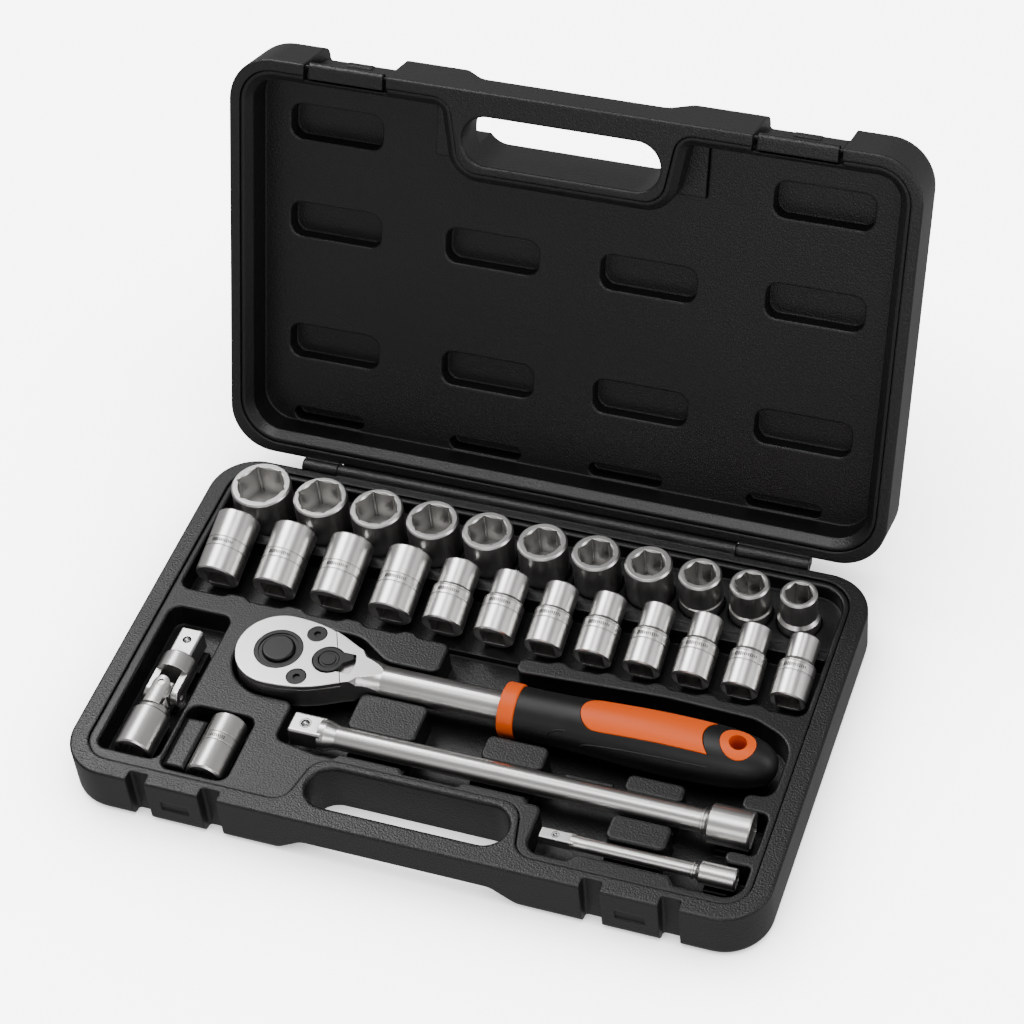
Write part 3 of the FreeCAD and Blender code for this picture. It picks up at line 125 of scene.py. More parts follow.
FINISHES: dict[Slot, Finish] = {
    Slot.CASE: Finish(
        (0.0030, 0.0030, 0.0032), 0.37, spread=0.08, grain_mm=1.0, grain_height_mm=0.28,
        edge_mm=1.5, shine=0.48),
    Slot.INSERT: Finish(
        (0.0026, 0.0026, 0.0028), 0.37, spread=0.08, grain_mm=1.0, grain_height_mm=0.18,
        edge_mm=1.5, shine=0.46),
    Slot.PIN: Finish(
        (0.45, 0.45, 0.46), 0.28, metallic=1.0, grain_mm=0.3, grain_height_mm=0.002, edge_mm=0.15),
    # The chrome's strong painted shade darkens its hollows, such as the hex ends.
    Slot.CHROME: Finish(
        (0.69, 0.68, 0.665), 0.30, metallic=1.0, spread=0.05, grain_mm=0.22, grain_height_mm=0.002,
        wander_mm=22.0, edge_mm=0.4, painted_shade=0.9),
    Slot.BLACK: Finish(
        (0.002, 0.002, 0.0022), 0.32, grain_mm=0.3, grain_height_mm=0.004, edge_mm=0.3, shine=0.36),
    Slot.RUBBER: Finish(
        (0.0026, 0.0026, 0.0028), 0.46, spread=0.08, grain_mm=0.5, grain_height_mm=0.03,
        edge_mm=0.4, shine=0.44),
    Slot.ACCENT: Finish(
        (0.76, 0.092, 0.001), 0.44, spread=0.05, grain_mm=0.5, grain_height_mm=0.012, edge_mm=0.4,
        shine=0.3, painted_shade=0.3),
}
ENGRAVED = Finish((0.10, 0.098, 0.095), 0.5, metallic=1.0, grain_mm=0.2, grain_height_mm=0.004, edge_mm=0.05)


@dataclass(frozen=True)
class CameraPlan:
    """Camera read from the photograph's edges.

    Attributes:
        place: Position in metres.
        azimuth: Degrees round the object, from the front to the right.
        elevation: Degrees above the horizon.
        roll: Degrees about the line of sight.
        lens: Focal length in millimetres.
        sensor: Width of the sensor in millimetres.
        reach: Nearest and farthest distance that it sees, in metres.
    """

    place: tuple[float, float, float] = (0.414565, -0.855585, 1.148835)
    azimuth: float = 24.034
    elevation: float = 46.578
    roll: float = -6.644
    lens: float = 100.63
    sensor: float = 36.0
    reach: tuple[float, float] = (0.05, 50.0)


@dataclass(frozen=True)
class LightPlan:
    """One soft panel light.

    Attributes:
        name: Object name.
        place: Position in metres.
        aim: Point it faces.
        size: Width and height in metres.
        power: Watts.
    """

    name: str
    place: tuple[float, float, float]
    aim: tuple[float, float, float]
    size: tuple[float, float]
    power: float


LIGHTS: tuple[LightPlan, ...] = (
    LightPlan("key_panel", (-0.9, 0.55, 1.5), (0.0, 0.0, 0.05), (0.8, 0.8), 19.0),
    LightPlan("front_panel", (0.35, -1.7, 0.9), (0.0, 0.0, 0.05), (1.4, 0.5), 8.0),
    LightPlan("right_panel", (1.6, 0.1, 0.9), (0.0, 0.0, 0.08), (0.6, 1.2), 8.0),
    LightPlan("top_panel", (0.1, -0.1, 1.9), (0.0, 0.0, 0.0), (1.1, 0.7), 15.0),
)


@dataclass(frozen=True)
class FloorPlan:
    """Pale paper that the case lies on.

    Attributes:
        reach: Half of its side in metres.
        color: Linear grey of the paper.
        glow: Light that the lit paper gives back by itself.
        shade_reach: How far from the case its soft shadow fades, in metres.
        shade_depth: How quickly that shadow deepens towards the case.
        shade_samples: Rays that look for the case.
        roughness: Roughness of the paper.
        shine: Strength of its plain reflection.
    """

    reach: float = 6.0
    color: float = 0.93
    glow: float = 6.0
    shade_reach: float = 0.2
    shade_depth: float = 1.7
    shade_samples: int = 12
    roughness: float = 0.9
    shine: float = 0.1


WORLD_STRENGTH = 0.36


class NodeGraph:
    """Small helper that adds and links nodes in one tree."""

    def __init__(self, tree: bpy.types.NodeTree) -> None:
        self.tree = tree

    def add(self, kind: str, **settings: object) -> bpy.types.Node:
        """Adds a node.

        Args:
            kind: Node type identifier.
            **settings: Attributes set on the node.

        Returns:
            The new node.
        """
        node = self.tree.nodes.new(kind)
        for name, value in settings.items():
            setattr(node, name, value)
        return node

    def link(self, source: bpy.types.NodeSocket, target: bpy.types.NodeSocket) -> None:
        """Links an output to an input.

        Args:
            source: Output socket.
            target: Input socket.
        """
        self.tree.links.new(source, target)

    def math(self, operation: str, first: object, second: object) -> bpy.types.NodeSocket:
        """Adds a math node fed by sockets or numbers.

        Args:
            operation: Math operation.
            first: Socket or number.
            second: Socket or number.

        Returns:
            The node's output.
        """
        node = self.add("ShaderNodeMath", operation=operation)
        for socket, value in zip(node.inputs, (first, second)):
            if isinstance(value, bpy.types.NodeSocket):
                self.link(value, socket)
            else:
                socket.default_value = value
        return node.outputs[0]


class GroupRecipe:
    """Node group that is made once and then shared.

    Attributes:
        NAME: Name of the group.
        KIND: Type of its tree.
        INPUTS: Name and kind of each input.
        OUTPUTS: Name and kind of each output.
    """

    NAME: str
    KIND: str
    INPUTS: tuple[tuple[str, str], ...]
    OUTPUTS: tuple[tuple[str, str], ...]

    @classmethod
    def tree(cls) -> bpy.types.NodeTree:
        """Returns the group, and makes it the first time.

        Returns:
            The node group.
        """
        found = bpy.data.node_groups.get(cls.NAME)
        if found is not None:
            return found
        tree = bpy.data.node_groups.new(cls.NAME, cls.KIND)
        for way, sockets in (("INPUT", cls.INPUTS), ("OUTPUT", cls.OUTPUTS)):
            for name, kind in sockets:
                tree.interface.new_socket(name, in_out=way, socket_type="NodeSocket" + kind)
        graph = NodeGraph(tree)
        cls._fill(graph, graph.add("NodeGroupInput"), graph.add("NodeGroupOutput"))
        return tree

    @classmethod
    def _fill(cls, graph: NodeGraph, entry: bpy.types.Node, result: bpy.types.Node) -> None:
        """Adds the group's nodes between its input and its output."""
        raise NotImplementedError


class SurfaceGroup(GroupRecipe):
    """Shader node group with the grain, wear and painted shade in corners that every finish shares.

    Attributes:
        GRAIN_DETAIL: Octaves of the fine grain.
        WANDER_DETAIL: Octaves of the slow changes.
        CORNER_SAMPLES: Rays that look for hollows.
        HOLLOW_DULL: How much rougher a closed hollow is.
    """

    NAME = "surface_life"
    KIND = "ShaderNodeTree"
    INPUTS = (
        ("Color", "Color"), ("Roughness", "Float"), ("Spread", "Float"), ("Grain Scale", "Float"),
        ("Wander Scale", "Float"), ("Painted Shade", "Float"), ("Corner Reach", "Float"))
    OUTPUTS = (("Color", "Color"), ("Roughness", "Float"), ("Height", "Float"))
    GRAIN_DETAIL = 2.0
    WANDER_DETAIL = 4.0
    CORNER_SAMPLES = 6
    HOLLOW_DULL = 0.12

    @classmethod
    def _fill(cls, graph: NodeGraph, entry: bpy.types.Node, result: bpy.types.Node) -> None:
        """Adds grain, slow drift and painted shade that darkens the hollows."""
        coords = graph.add("ShaderNodeTexCoord").outputs["Object"]
        grain = graph.add("ShaderNodeTexNoise")
        grain.inputs["Detail"].default_value = cls.GRAIN_DETAIL
        graph.link(coords, grain.inputs["Vector"])
        graph.link(entry.outputs["Grain Scale"], grain.inputs["Scale"])
        wander = graph.add("ShaderNodeTexNoise")
        wander.inputs["Detail"].default_value = cls.WANDER_DETAIL
        graph.link(coords, wander.inputs["Vector"])
        graph.link(entry.outputs["Wander Scale"], wander.inputs["Scale"])
        # Painted shade: an ambient-occlusion mask darkens the colour in corners and hollows, and makes them a
        # little rougher.
        corner = graph.add("ShaderNodeAmbientOcclusion", samples=cls.CORNER_SAMPLES)
        graph.link(entry.outputs["Corner Reach"], corner.inputs["Distance"])
        hollow = graph.math("SUBTRACT", 1.0, corner.outputs["AO"])
        shade = graph.math("SUBTRACT", 1.0, graph.math("MULTIPLY", hollow, entry.outputs["Painted Shade"]))
        drift = graph.math("SUBTRACT", wander.outputs["Fac"], 0.5)
        tone = graph.math("ADD", shade, graph.math("MULTIPLY", drift, entry.outputs["Spread"]))
        tint = graph.add("ShaderNodeVectorMath", operation="SCALE")
        graph.link(entry.outputs["Color"], tint.inputs[0])
        graph.link(tone, tint.inputs["Scale"])
        graph.link(tint.outputs["Vector"], result.inputs["Color"])
        swing = graph.math("MULTIPLY", drift, graph.math("MULTIPLY", entry.outputs["Spread"], 2.0))
        rough = graph.math("ADD", entry.outputs["Roughness"], swing)
        dull = graph.math("ADD", rough, graph.math("MULTIPLY", hollow, cls.HOLLOW_DULL))
        graph.link(dull, result.inputs["Roughness"])
        graph.link(grain.outputs["Fac"], result.inputs["Height"])


class MaterialMaker:
    """Makes one procedural material per finish.

    Attributes:
        CORNER_REACH: How far from a corner its painted shade reaches.
        EDGE_SAMPLES: Rays that soften a sharp edge.
    """

    CORNER_REACH = 6 * MM
    EDGE_SAMPLES = 6

    def make(self, name: str, finish: Finish) -> bpy.types.Material:
        """Makes a material.

        Args:
            name: Material name.
            finish: How the surface looks.

        Returns:
            The material.
        """
        material = bpy.data.materials.new(name)
        material.use_nodes = True
        material.node_tree.nodes.clear()
        graph = NodeGraph(material.node_tree)
        output = graph.add("ShaderNodeOutputMaterial")
        shader = graph.add("ShaderNodeBsdfPrincipled")
        life = graph.add("ShaderNodeGroup", node_tree=SurfaceGroup.tree())
        life.inputs["Color"].default_value = (*finish.color, 1.0)
        life.inputs["Roughness"].default_value = finish.roughness
        life.inputs["Spread"].default_value = finish.spread
        life.inputs["Grain Scale"].default_value = 1.0 / (finish.grain_mm * MM)
        life.inputs["Wander Scale"].default_value = 1.0 / (finish.wander_mm * MM)
        # Strength of the painted shade in the corners and hollows of this finish.
        life.inputs["Painted Shade"].default_value = finish.painted_shade
        life.inputs["Corner Reach"].default_value = self.CORNER_REACH
        edge = graph.add("ShaderNodeBevel", samples=self.EDGE_SAMPLES)
        edge.inputs["Radius"].default_value = finish.edge_mm * MM
        bump = graph.add("ShaderNodeBump")
        bump.inputs["Strength"].default_value = 1.0
        bump.inputs["Distance"].default_value = finish.grain_height_mm * MM
        graph.link(life.outputs["Height"], bump.inputs["Height"])
        graph.link(edge.outputs["Normal"], bump.inputs["Normal"])
        graph.link(life.outputs["Color"], shader.inputs["Base Color"])
        graph.link(life.outputs["Roughness"], shader.inputs["Roughness"])
        graph.link(bump.outputs["Normal"], shader.inputs["Normal"])
        shader.inputs["Metallic"].default_value = finish.metallic
        shader.inputs["Specular IOR Level"].default_value = finish.shine
        graph.link(shader.outputs["BSDF"], output.inputs["Surface"])
        return material


class RowOfMarks(GroupRecipe):
    """Geometry Nodes tree that sets a row of small bars round an arc and gives them a material."""

    NAME = "row_of_marks"
    KIND = "GeometryNodeTree"
    INPUTS = (
        ("Geometry", "Geometry"), ("Count", "Int"), ("Bar", "Vector"), ("Start", "Vector"), ("Turn", "Float"),
        ("First Angle", "Float"), ("Uneven", "Float"), ("Material", "Material"))
    OUTPUTS = (("Geometry", "Geometry"),)

    @classmethod
    def _fill(cls, graph: NodeGraph, entry: bpy.types.Node, result: bpy.types.Node) -> None:
        """Adds points and a bar on each, turned round the axis."""
        line = graph.add("GeometryNodeMeshLine")
        graph.link(entry.outputs["Count"], line.inputs["Count"])
        graph.link(entry.outputs["Start"], line.inputs["Start Location"])
        line.inputs["Offset"].default_value = (0.0, 0.0, 0.0)
        bar = graph.add("GeometryNodeMeshCube")
        graph.link(entry.outputs["Bar"], bar.inputs["Size"])
        index = graph.add("GeometryNodeInputIndex").outputs[0]
        swept = graph.math("MULTIPLY", index, entry.outputs["Turn"])
        angle = graph.math("ADD", entry.outputs["First Angle"], swept)
        turn = graph.add("ShaderNodeCombineXYZ")
        graph.link(angle, turn.inputs["Z"])
        chance = graph.add("FunctionNodeRandomValue", data_type="FLOAT")
        graph.link(graph.math("SUBTRACT", 1.0, entry.outputs["Uneven"]), chance.inputs[2])
        chance.inputs[3].default_value = 1.0
        stretch = graph.add("ShaderNodeCombineXYZ")
        stretch.inputs["X"].default_value = 1.0
        graph.link(chance.outputs[1], stretch.inputs["Y"])
        graph.link(chance.outputs[1], stretch.inputs["Z"])
        copies = graph.add("GeometryNodeInstanceOnPoints")
        graph.link(line.outputs["Mesh"], copies.inputs["Points"])
        graph.link(bar.outputs["Mesh"], copies.inputs["Instance"])
        graph.link(stretch.outputs["Vector"], copies.inputs["Scale"])
        swing = graph.add("GeometryNodeRotateInstances")
        graph.link(copies.outputs["Instances"], swing.inputs["Instances"])
        graph.link(turn.outputs["Vector"], swing.inputs["Rotation"])
        swing.inputs["Pivot Point"].default_value = (0.0, 0.0, 0.0)
        swing.inputs["Local Space"].default_value = False
        real = graph.add("GeometryNodeRealizeInstances")
        graph.link(swing.outputs["Instances"], real.inputs["Geometry"])
        paint = graph.add("GeometryNodeSetMaterial")
        graph.link(real.outputs["Geometry"], paint.inputs["Geometry"])
        graph.link(entry.outputs["Material"], paint.inputs["Material"])
        graph.link(paint.outputs["Geometry"], result.inputs["Geometry"])

    @classmethod
    def bake(cls, name: str, place: Matrix, values: dict[str, object]) -> bpy.types.Object:
        """Runs the tree and keeps its result as plain mesh.

        Args:
            name: Object name.
            place: Matrix from the row's own axes to the shared frame.
            values: Inputs by socket name.

        Returns:
            The mesh object, at the origin with its place in the mesh.
        """
        made = bake_tree(name, cls.tree(), bpy.data.meshes.new(name + "_maker"), values)
        made.data.transform(place)
        return made


class BeadLine(GroupRecipe):
    """Geometry Nodes tree that lays a fine round bead along the edges of a mesh.

    Attributes:
        SIDES: Corners of the bead's round section.
    """

    NAME = "bead_line"
    KIND = "GeometryNodeTree"
    INPUTS = (("Geometry", "Geometry"), ("Radius", "Float"), ("Material", "Material"))
    OUTPUTS = (("Geometry", "Geometry"),)
    SIDES = 10

    @classmethod
    def _fill(cls, graph: NodeGraph, entry: bpy.types.Node, result: bpy.types.Node) -> None:
        """Adds the way from edges to a curve, a round section along it, and its finish."""
        path = graph.add("GeometryNodeMeshToCurve")
        graph.link(entry.outputs["Geometry"], path.inputs["Mesh"])
        section = graph.add("GeometryNodeCurvePrimitiveCircle")
        section.inputs["Resolution"].default_value = cls.SIDES
        graph.link(entry.outputs["Radius"], section.inputs["Radius"])
        bead = graph.add("GeometryNodeCurveToMesh")
        bead.inputs["Fill Caps"].default_value = True
        graph.link(path.outputs["Curve"], bead.inputs["Curve"])
        graph.link(section.outputs["Curve"], bead.inputs["Profile Curve"])
        paint = graph.add("GeometryNodeSetMaterial")
        graph.link(bead.outputs["Mesh"], paint.inputs["Geometry"])
        graph.link(entry.outputs["Material"], paint.inputs["Material"])
        graph.link(paint.outputs["Geometry"], result.inputs["Geometry"])


def bake_tree(name: str, tree: bpy.types.NodeTree, start: bpy.types.Mesh,
              values: dict[str, object]) -> bpy.types.Object:
    """Runs a Geometry Nodes tree and keeps its result as plain mesh.

    Args:
        name: Object name.
        tree: Geometry node group.
        start: Mesh that goes into the tree.
        values: Inputs by socket name.

    Returns:
        The mesh object, at the origin.
    """
    maker = bpy.data.objects.new(name + "_maker", start)
    bpy.context.scene.collection.objects.link(maker)
    modifier = maker.modifiers.new("maker", "NODES")
    modifier.node_group = tree
    for item in tree.interface.items_tree:
        if item.in_out == "INPUT" and item.name in values:
            modifier[item.identifier] = values[item.name]
    bpy.context.view_layer.update()
    graph = bpy.context.evaluated_depsgraph_get()
    mesh = bpy.data.meshes.new_from_object(maker.evaluated_get(graph))
    bpy.data.objects.remove(maker)
    made = bpy.data.objects.new(name, mesh)
    bpy.context.scene.collection.objects.link(made)
    return made


def smooth_route(name: str, points: list[Vector]) -> list[Vector]:
    """Draws a smooth line with the points as its control points.

    Args:
        name: Name of the curve while it is made.
        points: Control points.

    Returns:
        Points close together along the line.
    """
    data = bpy.data.curves.new(name, "CURVE")
    data.dimensions = "3D"
    spline = data.splines.new("NURBS")
    spline.points.add(len(points) - 1)
    for target, point in zip(spline.points, points):
        target.co = (*point, 1.0)
    spline.order_u = 4
    spline.use_endpoint_u = True
    line = bpy.data.objects.new(name, data)
    bpy.context.scene.collection.objects.link(line)
    bpy.context.view_layer.update()
    mesh = bpy.data.meshes.new_from_object(line.evaluated_get(bpy.context.evaluated_depsgraph_get()))
    route = [vertex.co.copy() for vertex in mesh.vertices]
    bpy.data.objects.remove(line)
    return route


@dataclass(frozen=True)
class Ruler:
    """Own axes of a round piece: out to its side, across, and along its length.

    Attributes:
        start: Middle of its front end.
        along: Direction of its length.
        across: Direction across it, level.
    """

    start: Vector
    along: Vector
    across: Vector = Vector((1.0, 0.0, 0.0))

    def matrix(self) -> Matrix:
        """Returns the matrix from these axes to the shared frame, with X out of the top."""
        out = self.across.cross(self.along)
        columns = (out, self.across, self.along, self.start)
        rows = [[column[i] for column in columns] for i in range(3)]
        return Matrix((*rows, (0.0, 0.0, 0.0, 1.0)))


@dataclass(frozen=True)
class MarkSizes:
    """Sizes of the short strokes engraved in a row round a band.

    Attributes:
        count: Strokes in the row.
        width: Width of the longest stroke.
        height: Height of the tallest stroke.
        proud: Thickness of a stroke.
        pitch: Distance from stroke to stroke round the band.
        uneven: How much shorter the shortest stroke is.
    """

    count: int = 12
    width: float = 0.62 * MM
    height: float = 2.2 * MM
    proud: float = 0.05 * MM
    pitch: float = 1.05 * MM
    uneven: float = 0.45


@dataclass
class SubAssembly:
    """Pieces of the set that are dressed together.

    Attributes:
        finishes: Material of each slot.
        starts: How the names of its nodes start.
    """

    finishes: dict[Slot, bpy.types.Material]
    starts: tuple[str, ...] = ()

    def own(self, nodes: Iterable[str]) -> list[str]:
        """Picks the nodes of this sub-assembly.

        Args:
            nodes: Names of all nodes.

        Returns:
            Its own names, in order.
        """
        return sorted(name for name in nodes if name.startswith(self.starts))

    def dress(self, frame: dict[str, object]) -> None:
        """Gives each node the finish of its slot, and adds the fine pieces.

        Args:
            frame: Loaded frame.
        """
        slots = {row["node"]: Slot(row["material_slot"]) for row in frame["record"]["subparts"]}
        names = self.own(frame["nodes"])
        for name in names:
            mesh = frame["nodes"][name].data
            mesh.materials.clear()
            mesh.materials.append(self.finishes[slots[name]])
            for polygon in mesh.polygons:
                polygon.material_index = 0
        pieces = self.details(names)
        LOG.info("%s: %d nodes, %d fine pieces", type(self).__name__, len(names), len(pieces))

    def details(self, names: list[str]) -> list[bpy.types.Object]:
        """Adds no fine pieces unless a sub-assembly has its own."""
        return []


@dataclass
class CarryingCase(SubAssembly):
    """Base, lid, their moulded inserts, the latches and the hinge, with a dark strip on the lid behind the
    hinge, painted shade that closes the view through the shaded hinge gap.

    Attributes:
        shade_strip_section: Corners of the painted-shade strip's section, back and up from the hinge's axis.
        shade_strip_inset: Distance of the painted-shade strip's ends from the ends of the hinge pin, left and
            right.
    """

    starts: tuple[str, ...] = ("case_", "lid_liner", "tool_tray", "latch_", "hinge_pin")
    shade_strip_section: tuple[tuple[float, float], ...] = (
        (4.7 * MM, 2.0 * MM), (4.4 * MM, -0.2 * MM), (5.8 * MM, -0.7 * MM), (6.5 * MM, 1.3 * MM))
    shade_strip_inset: tuple[float, float] = (20.5 * MM, 39.5 * MM)

    def details(self, names: list[str]) -> list[bpy.types.Object]:
        """Adds a dark strip along the lid's back wall, just behind the hinge's barrel: painted shade that
        fills the view through the hinge gap.

        Args:
            names: Nodes of the case; not used.

        Returns:
            The strip of painted shade.
        """
        low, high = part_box("hinge_pin")
        axis = (low + high) / 2
        left, right = low.x + self.shade_strip_inset[0], high.x - self.shade_strip_inset[1]
        corners = [(x, axis.y + back, axis.z + up) for x in (left, right) for back, up in self.shade_strip_section]
        count = len(self.shade_strip_section)
        sides = [(i, (i + 1) % count, (i + 1) % count + count, i + count) for i in range(count)]
        ends = [tuple(reversed(range(count))), tuple(range(count, 2 * count))]
        # Painted shade: a dark strip of case plastic closes the view through the shaded hinge gap behind the
        # barrel.
        mesh = bpy.data.meshes.new("lid_back_shade_strip")
        mesh.from_pydata(corners, [], sides + ends)
        shape = bmesh.new()
        shape.from_mesh(mesh)
        bmesh.ops.recalc_face_normals(shape, faces=shape.faces)
        shape.to_mesh(mesh)
        shape.free()
        mesh.materials.append(self.finishes[Slot.CASE])
        shade_strip = bpy.data.objects.new("lid_back_shade_strip", mesh)
        bpy.context.scene.collection.objects.link(shade_strip)
        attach(shade_strip, "lid")
        return [shade_strip]


@dataclass
class StandingSockets(SubAssembly):
    """Back row of sockets, with their hex ends up."""

    starts: tuple[str, ...] = ("upright_socket",)


@dataclass
class EngravedTools(SubAssembly):
    """Round tools with a row of short strokes engraved round a band.

    Attributes:
        engraving: Material of the strokes.
        marks: Sizes of the strokes.
    """

    engraving: bpy.types.Material | None = None
    marks: MarkSizes = MarkSizes()

    def engrave(self, node: str, body: str, ruler: Ruler, radius: float, band: float) -> bpy.types.Object:
        """Engraves one tool.

        Args:
            node: CAD node of the tool.
            body: Body that it belongs to.
            ruler: Own axes of the tool.
            radius: Radius of the band.
            band: Distance of the band's middle from the front end.

        Returns:
            The strokes.
        """
        sizes = self.marks
        step = sizes.pitch / radius
        strokes = RowOfMarks.bake(node + "_marks", ruler.matrix(), {
            "Count": sizes.count, "Bar": (sizes.proud, sizes.width, sizes.height),
            "Start": (radius, 0.0, band), "Turn": step,
            "First Angle": -step * (sizes.count - 1) / 2, "Uneven": sizes.uneven,
            "Material": self.engraving})
        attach(strokes, body)
        return strokes


@dataclass
class LyingSockets(EngravedTools):
    """Second row of sockets, which lean back with their drive ends to the front.

    Attributes:
        lean: Degrees that they lean back.
        band: Distance of the marked band's middle from the drive end.
    """

    starts: tuple[str, ...] = ("lying_socket",)
    lean: float = 14.0
    band: float = 17.0 * MM

    def details(self, names: list[str]) -> list[bpy.types.Object]:
        """Engraves each socket.

        Args:
            names: Nodes of the sockets.

        Returns:
            The strokes of each.
        """
        lean = math.radians(self.lean)
        along = Vector((0.0, math.cos(lean), math.sin(lean)))
        made = []
        for name in names:
            low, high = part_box(name)
            radius = (high.x - low.x) / 2
            middle = (low.x + high.x) / 2
            start = Vector((middle, low.y + radius * math.sin(lean), low.z + radius * math.cos(lean)))
            made.append(self.engrave(name, name, Ruler(start, along), radius, self.band))
        return made


@dataclass
class Coupler(EngravedTools):
    """Reducing coupler, which lies level.

    Attributes:
        band: Distance of the marked band's middle from its front end, as a share of its length.
    """

    starts: tuple[str, ...] = ("reducing_coupler",)
    marks: MarkSizes = MarkSizes(count=9)
    band: float = 0.575

    def details(self, names: list[str]) -> list[bpy.types.Object]:
        """Engraves the coupler.

        Args:
            names: Its node.

        Returns:
            The strokes.
        """
        made = []
        for name in names:
            low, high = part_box(name)
            start = Vector(((low.x + high.x) / 2, low.y, (low.z + high.z) / 2))
            ruler = Ruler(start, Vector((0.0, 1.0, 0.0)))
            radius = (high.x - low.x) / 2
            made.append(self.engrave(name, "coupler", ruler, radius, self.band * (high.y - low.y)))
        return made


@dataclass
class DriveBars(SubAssembly):
    """Long and short extension bars, with a fine dark ring round each detent ball.

    Attributes:
        engraving: Material of the rings.
        bars: Node, body and size of the square of each bar.
        gap: Distance from a ball to its ring.
        stroke: Width and thickness of a ring.
        links: Short strokes that a ring is made of.
        overlap: Length of a stroke over the distance to the next.
    """

    starts: tuple[str, ...] = ("long_extension", "short_extension")
    engraving: bpy.types.Material | None = None
    bars: tuple[tuple[str, str, float], ...] = (
        ("long_extension", "long_bar", 12.7 * MM), ("short_extension", "short_bar", 6.35 * MM))
    gap: float = 0.7 * MM
    stroke: tuple[float, float] = (0.35 * MM, 0.06 * MM)
    links: int = 32
    overlap: float = 1.05

    def details(self, names: list[str]) -> list[bpy.types.Object]:
        """Adds the ring on each bar's square.

        Args:
            names: Nodes of the bars; not used.

        Returns:
            The rings.
        """
        made = []
        for bar, body, square in self.bars:
            low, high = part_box(bar + "_ball")
            bar_low, bar_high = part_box(bar)
            top = (bar_low.z + bar_high.z) / 2 + square / 2
            start = Vector(((low.x + high.x) / 2, (low.y + high.y) / 2, top))
            radius = (high.x - low.x) / 2 + self.gap
            turn = math.tau / self.links
            width, thickness = self.stroke
            ring = RowOfMarks.bake(bar + "_ring", Matrix.Translation(start), {
                "Count": self.links, "Bar": (width, radius * turn * self.overlap, thickness),
                "Start": (radius, 0.0, 0.0), "Turn": turn, "First Angle": 0.0, "Uneven": 0.0,
                "Material": self.engraving})
            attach(ring, body)
            made.append(ring)
        return made


@dataclass
class RatchetHandle(SubAssembly):
    """Ratchet with its gear, lever, pawl and two-colour grip, with contour lines moulded in the grip.

    Attributes:
        contours: Points of each line, along the panel as a share of its length, and out from its front edge.
        bead: Radius of a line's bead.
        press: Travel of the release button; not used.
        drop: Height above the panel from which the lines are dropped onto the grip.
        weld: Distance within which corners of the spring's mesh are joined.
    """

    starts: tuple[str, ...] = (
        "ratchet_body", "cover_", "drive_gear", "drive_ball", "gear_collar", "release_", "direction_lever",
        "pawl", "handle_grip", "grip_", "hang_eyelet")
    contours: tuple[tuple[tuple[float, float], ...], ...] = (
        ((-0.05, 7.5 * MM), (-0.04, 5.8 * MM), (0.0, 4.4 * MM), (0.08, 4.0 * MM), (0.35, 4.4 * MM),
         (0.65, 4.6 * MM), (0.9, 4.4 * MM), (1.02, 4.0 * MM)),
        ((-0.25, 6.0 * MM), (-0.24, 4.0 * MM), (-0.2, 2.4 * MM), (-0.14, 1.6 * MM), (-0.08, 1.6 * MM)),
    )
    bead: float = 0.45 * MM
    press: float = 3.0 * MM
    drop: float = 50.0 * MM
    weld: float = 0.0005 * MM

    def details(self, names: list[str]) -> list[bpy.types.Object]:
        """Adds the grip's contour lines, and a coil in place of the release spring.

        Args:
            names: Nodes of the ratchet; not used.

        Returns:
            The lines and the coil.
        """
        return [self._contour_lines(), self._coil()]

    def _contour_lines(self) -> bpy.types.Object:
        """Lays the beads on the grip's upper surface."""
        low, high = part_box("grip_panel")
        length = high.x - low.x
        rubber = bpy.data.objects["handle_grip"].data
        skin = BVHTree.FromPolygons(
            [vertex.co for vertex in rubber.vertices], [polygon.vertices[:] for polygon in rubber.polygons])
        up = Vector((0.0, 0.0, 1.0))
        corners: list[Vector] = []
        edges: list[tuple[int, int]] = []
        for contour in self.contours:
            first = len(corners)
            route = [Vector((low.x + share * length, low.y - out, high.z)) for share, out in contour]
            for point in smooth_route("grip_contour", route):
                hit = skin.ray_cast(point + self.drop * up, -up)[0]
                if hit is not None:
                    corners.append(hit)
            edges += [(i, i + 1) for i in range(first, len(corners) - 1)]
        path = bpy.data.meshes.new("grip_contours_path")
        path.from_pydata(corners, edges, [])
        lines = bake_tree("grip_contours", BeadLine.tree(), path, {
            "Radius": self.bead, "Material": self.finishes[Slot.RUBBER]})
        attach(lines, "ratchet")
        return lines

    def _coil(self) -> bpy.types.Object:
        """Stands in for the release spring."""
        shape = bmesh.new()
        shape.from_mesh(bpy.data.objects["release_spring"].data)
        bmesh.ops.remove_doubles(shape, verts=shape.verts, dist=self.weld)
        mesh = bpy.data.meshes.new("release_coil")
        shape.to_mesh(mesh)
        shape.free()
        mesh.materials.append(self.finishes[Slot.PIN])
        coil = bpy.data.objects.new("release_coil", mesh)
        bpy.context.scene.collection.objects.link(coil)
        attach(coil, "gear")
        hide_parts("release_spring")
        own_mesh(coil)
        return coil


@dataclass
class UniversalJoint(SubAssembly):
    """Two yokes on a cross."""

    starts: tuple[str, ...] = ("joint_",)


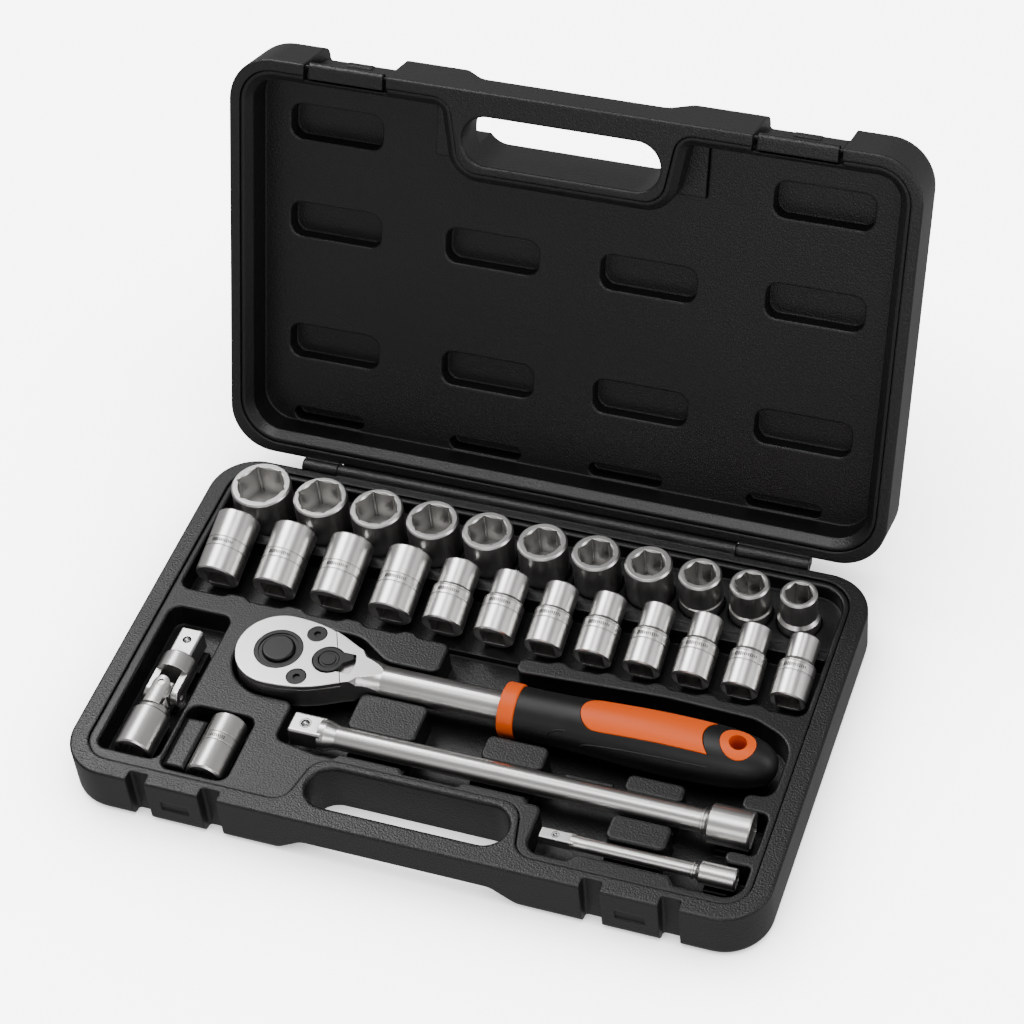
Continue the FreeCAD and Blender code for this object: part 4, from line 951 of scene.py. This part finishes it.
class Studio:
    """Floor, lights, world and camera."""

    def build(self) -> None:
        """Builds the set round the object."""
        self._floor(FloorPlan())
        for plan in LIGHTS:
            self._light(plan)
        self._world()
        self._camera(CameraPlan())

    def _floor(self, plan: FloorPlan) -> None:
        """Lays the paper, which glows evenly except in the soft shadow beside the case."""
        mesh = bpy.data.meshes.new("floor")
        side = plan.reach
        corners = [(-side, -side, 0), (side, -side, 0), (side, side, 0), (-side, side, 0)]
        mesh.from_pydata(corners, [], [(0, 1, 2, 3)])
        floor = bpy.data.objects.new("floor", mesh)
        bpy.context.scene.collection.objects.link(floor)
        floor.visible_glossy = False
        material = bpy.data.materials.new("floor_paper")
        material.use_nodes = True
        graph = NodeGraph(material.node_tree)
        shader = material.node_tree.nodes["Principled BSDF"]
        shader.inputs["Base Color"].default_value = (plan.color, plan.color, plan.color, 1.0)
        shader.inputs["Roughness"].default_value = plan.roughness
        shader.inputs["Specular IOR Level"].default_value = plan.shine
        shader.inputs["Emission Color"].default_value = (1.0, 1.0, 1.0, 1.0)
        near = graph.add("ShaderNodeAmbientOcclusion", samples=plan.shade_samples)
        near.inputs["Distance"].default_value = plan.shade_reach
        shade = graph.math("POWER", near.outputs["AO"], plan.shade_depth)
        graph.link(graph.math("MULTIPLY", shade, plan.glow), shader.inputs["Emission Strength"])
        mesh.materials.append(material)

    def _light(self, plan: LightPlan) -> None:
        """Hangs one panel."""
        data = bpy.data.lights.new(plan.name, "AREA")
        data.shape = "RECTANGLE"
        data.size, data.size_y = plan.size
        data.energy = plan.power
        lamp = bpy.data.objects.new(plan.name, data)
        lamp.location = plan.place
        facing = Vector(plan.aim) - Vector(plan.place)
        lamp.rotation_euler = facing.to_track_quat("-Z", "Y").to_euler()
        bpy.context.scene.collection.objects.link(lamp)

    def _world(self) -> None:
        """Fills the room with even light."""
        world = bpy.data.worlds.new("studio")
        world.use_nodes = True
        background = world.node_tree.nodes["Background"]
        background.inputs["Color"].default_value = (1.0, 1.0, 1.0, 1.0)
        background.inputs["Strength"].default_value = WORLD_STRENGTH
        bpy.context.scene.world = world

    def _camera(self, plan: CameraPlan) -> None:
        """Sets the camera where the photograph was taken from."""
        data = bpy.data.cameras.new("photo_camera")
        data.sensor_width = plan.sensor
        data.lens = plan.lens
        data.clip_start, data.clip_end = plan.reach
        camera = bpy.data.objects.new("photo_camera", data)
        around = math.radians(plan.azimuth)
        above = math.radians(plan.elevation)
        level = math.cos(above)
        back = Vector((math.sin(around) * level, -math.cos(around) * level, math.sin(above)))
        turn = (-back).to_track_quat("-Z", "Y").to_matrix().to_4x4()
        turn = turn @ Matrix.Rotation(math.radians(plan.roll), 4, "Z")
        camera.matrix_world = Matrix.Translation(plan.place) @ turn
        bpy.context.scene.collection.objects.link(camera)
        bpy.context.scene.camera = camera


def clear_scene() -> None:
    """Empties the start-up scene."""
    for thing in list(bpy.data.objects):
        bpy.data.objects.remove(thing)


def main() -> None:
    """Builds the dressed set and its studio."""
    logging.basicConfig(level=logging.INFO)
    clear_scene()
    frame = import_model()
    maker = MaterialMaker()
    finishes = {slot: maker.make(slot.value + "_finish", look) for slot, look in FINISHES.items()}
    engraving = maker.make("engraving", ENGRAVED)
    assemblies = (
        CarryingCase(finishes), StandingSockets(finishes), LyingSockets(finishes, engraving=engraving),
        Coupler(finishes, engraving=engraving), DriveBars(finishes, engraving=engraving),
        RatchetHandle(finishes), UniversalJoint(finishes))
    for assembly in assemblies:
        assembly.dress(frame)
    Studio().build()


if __name__ == "__main__":
    main()
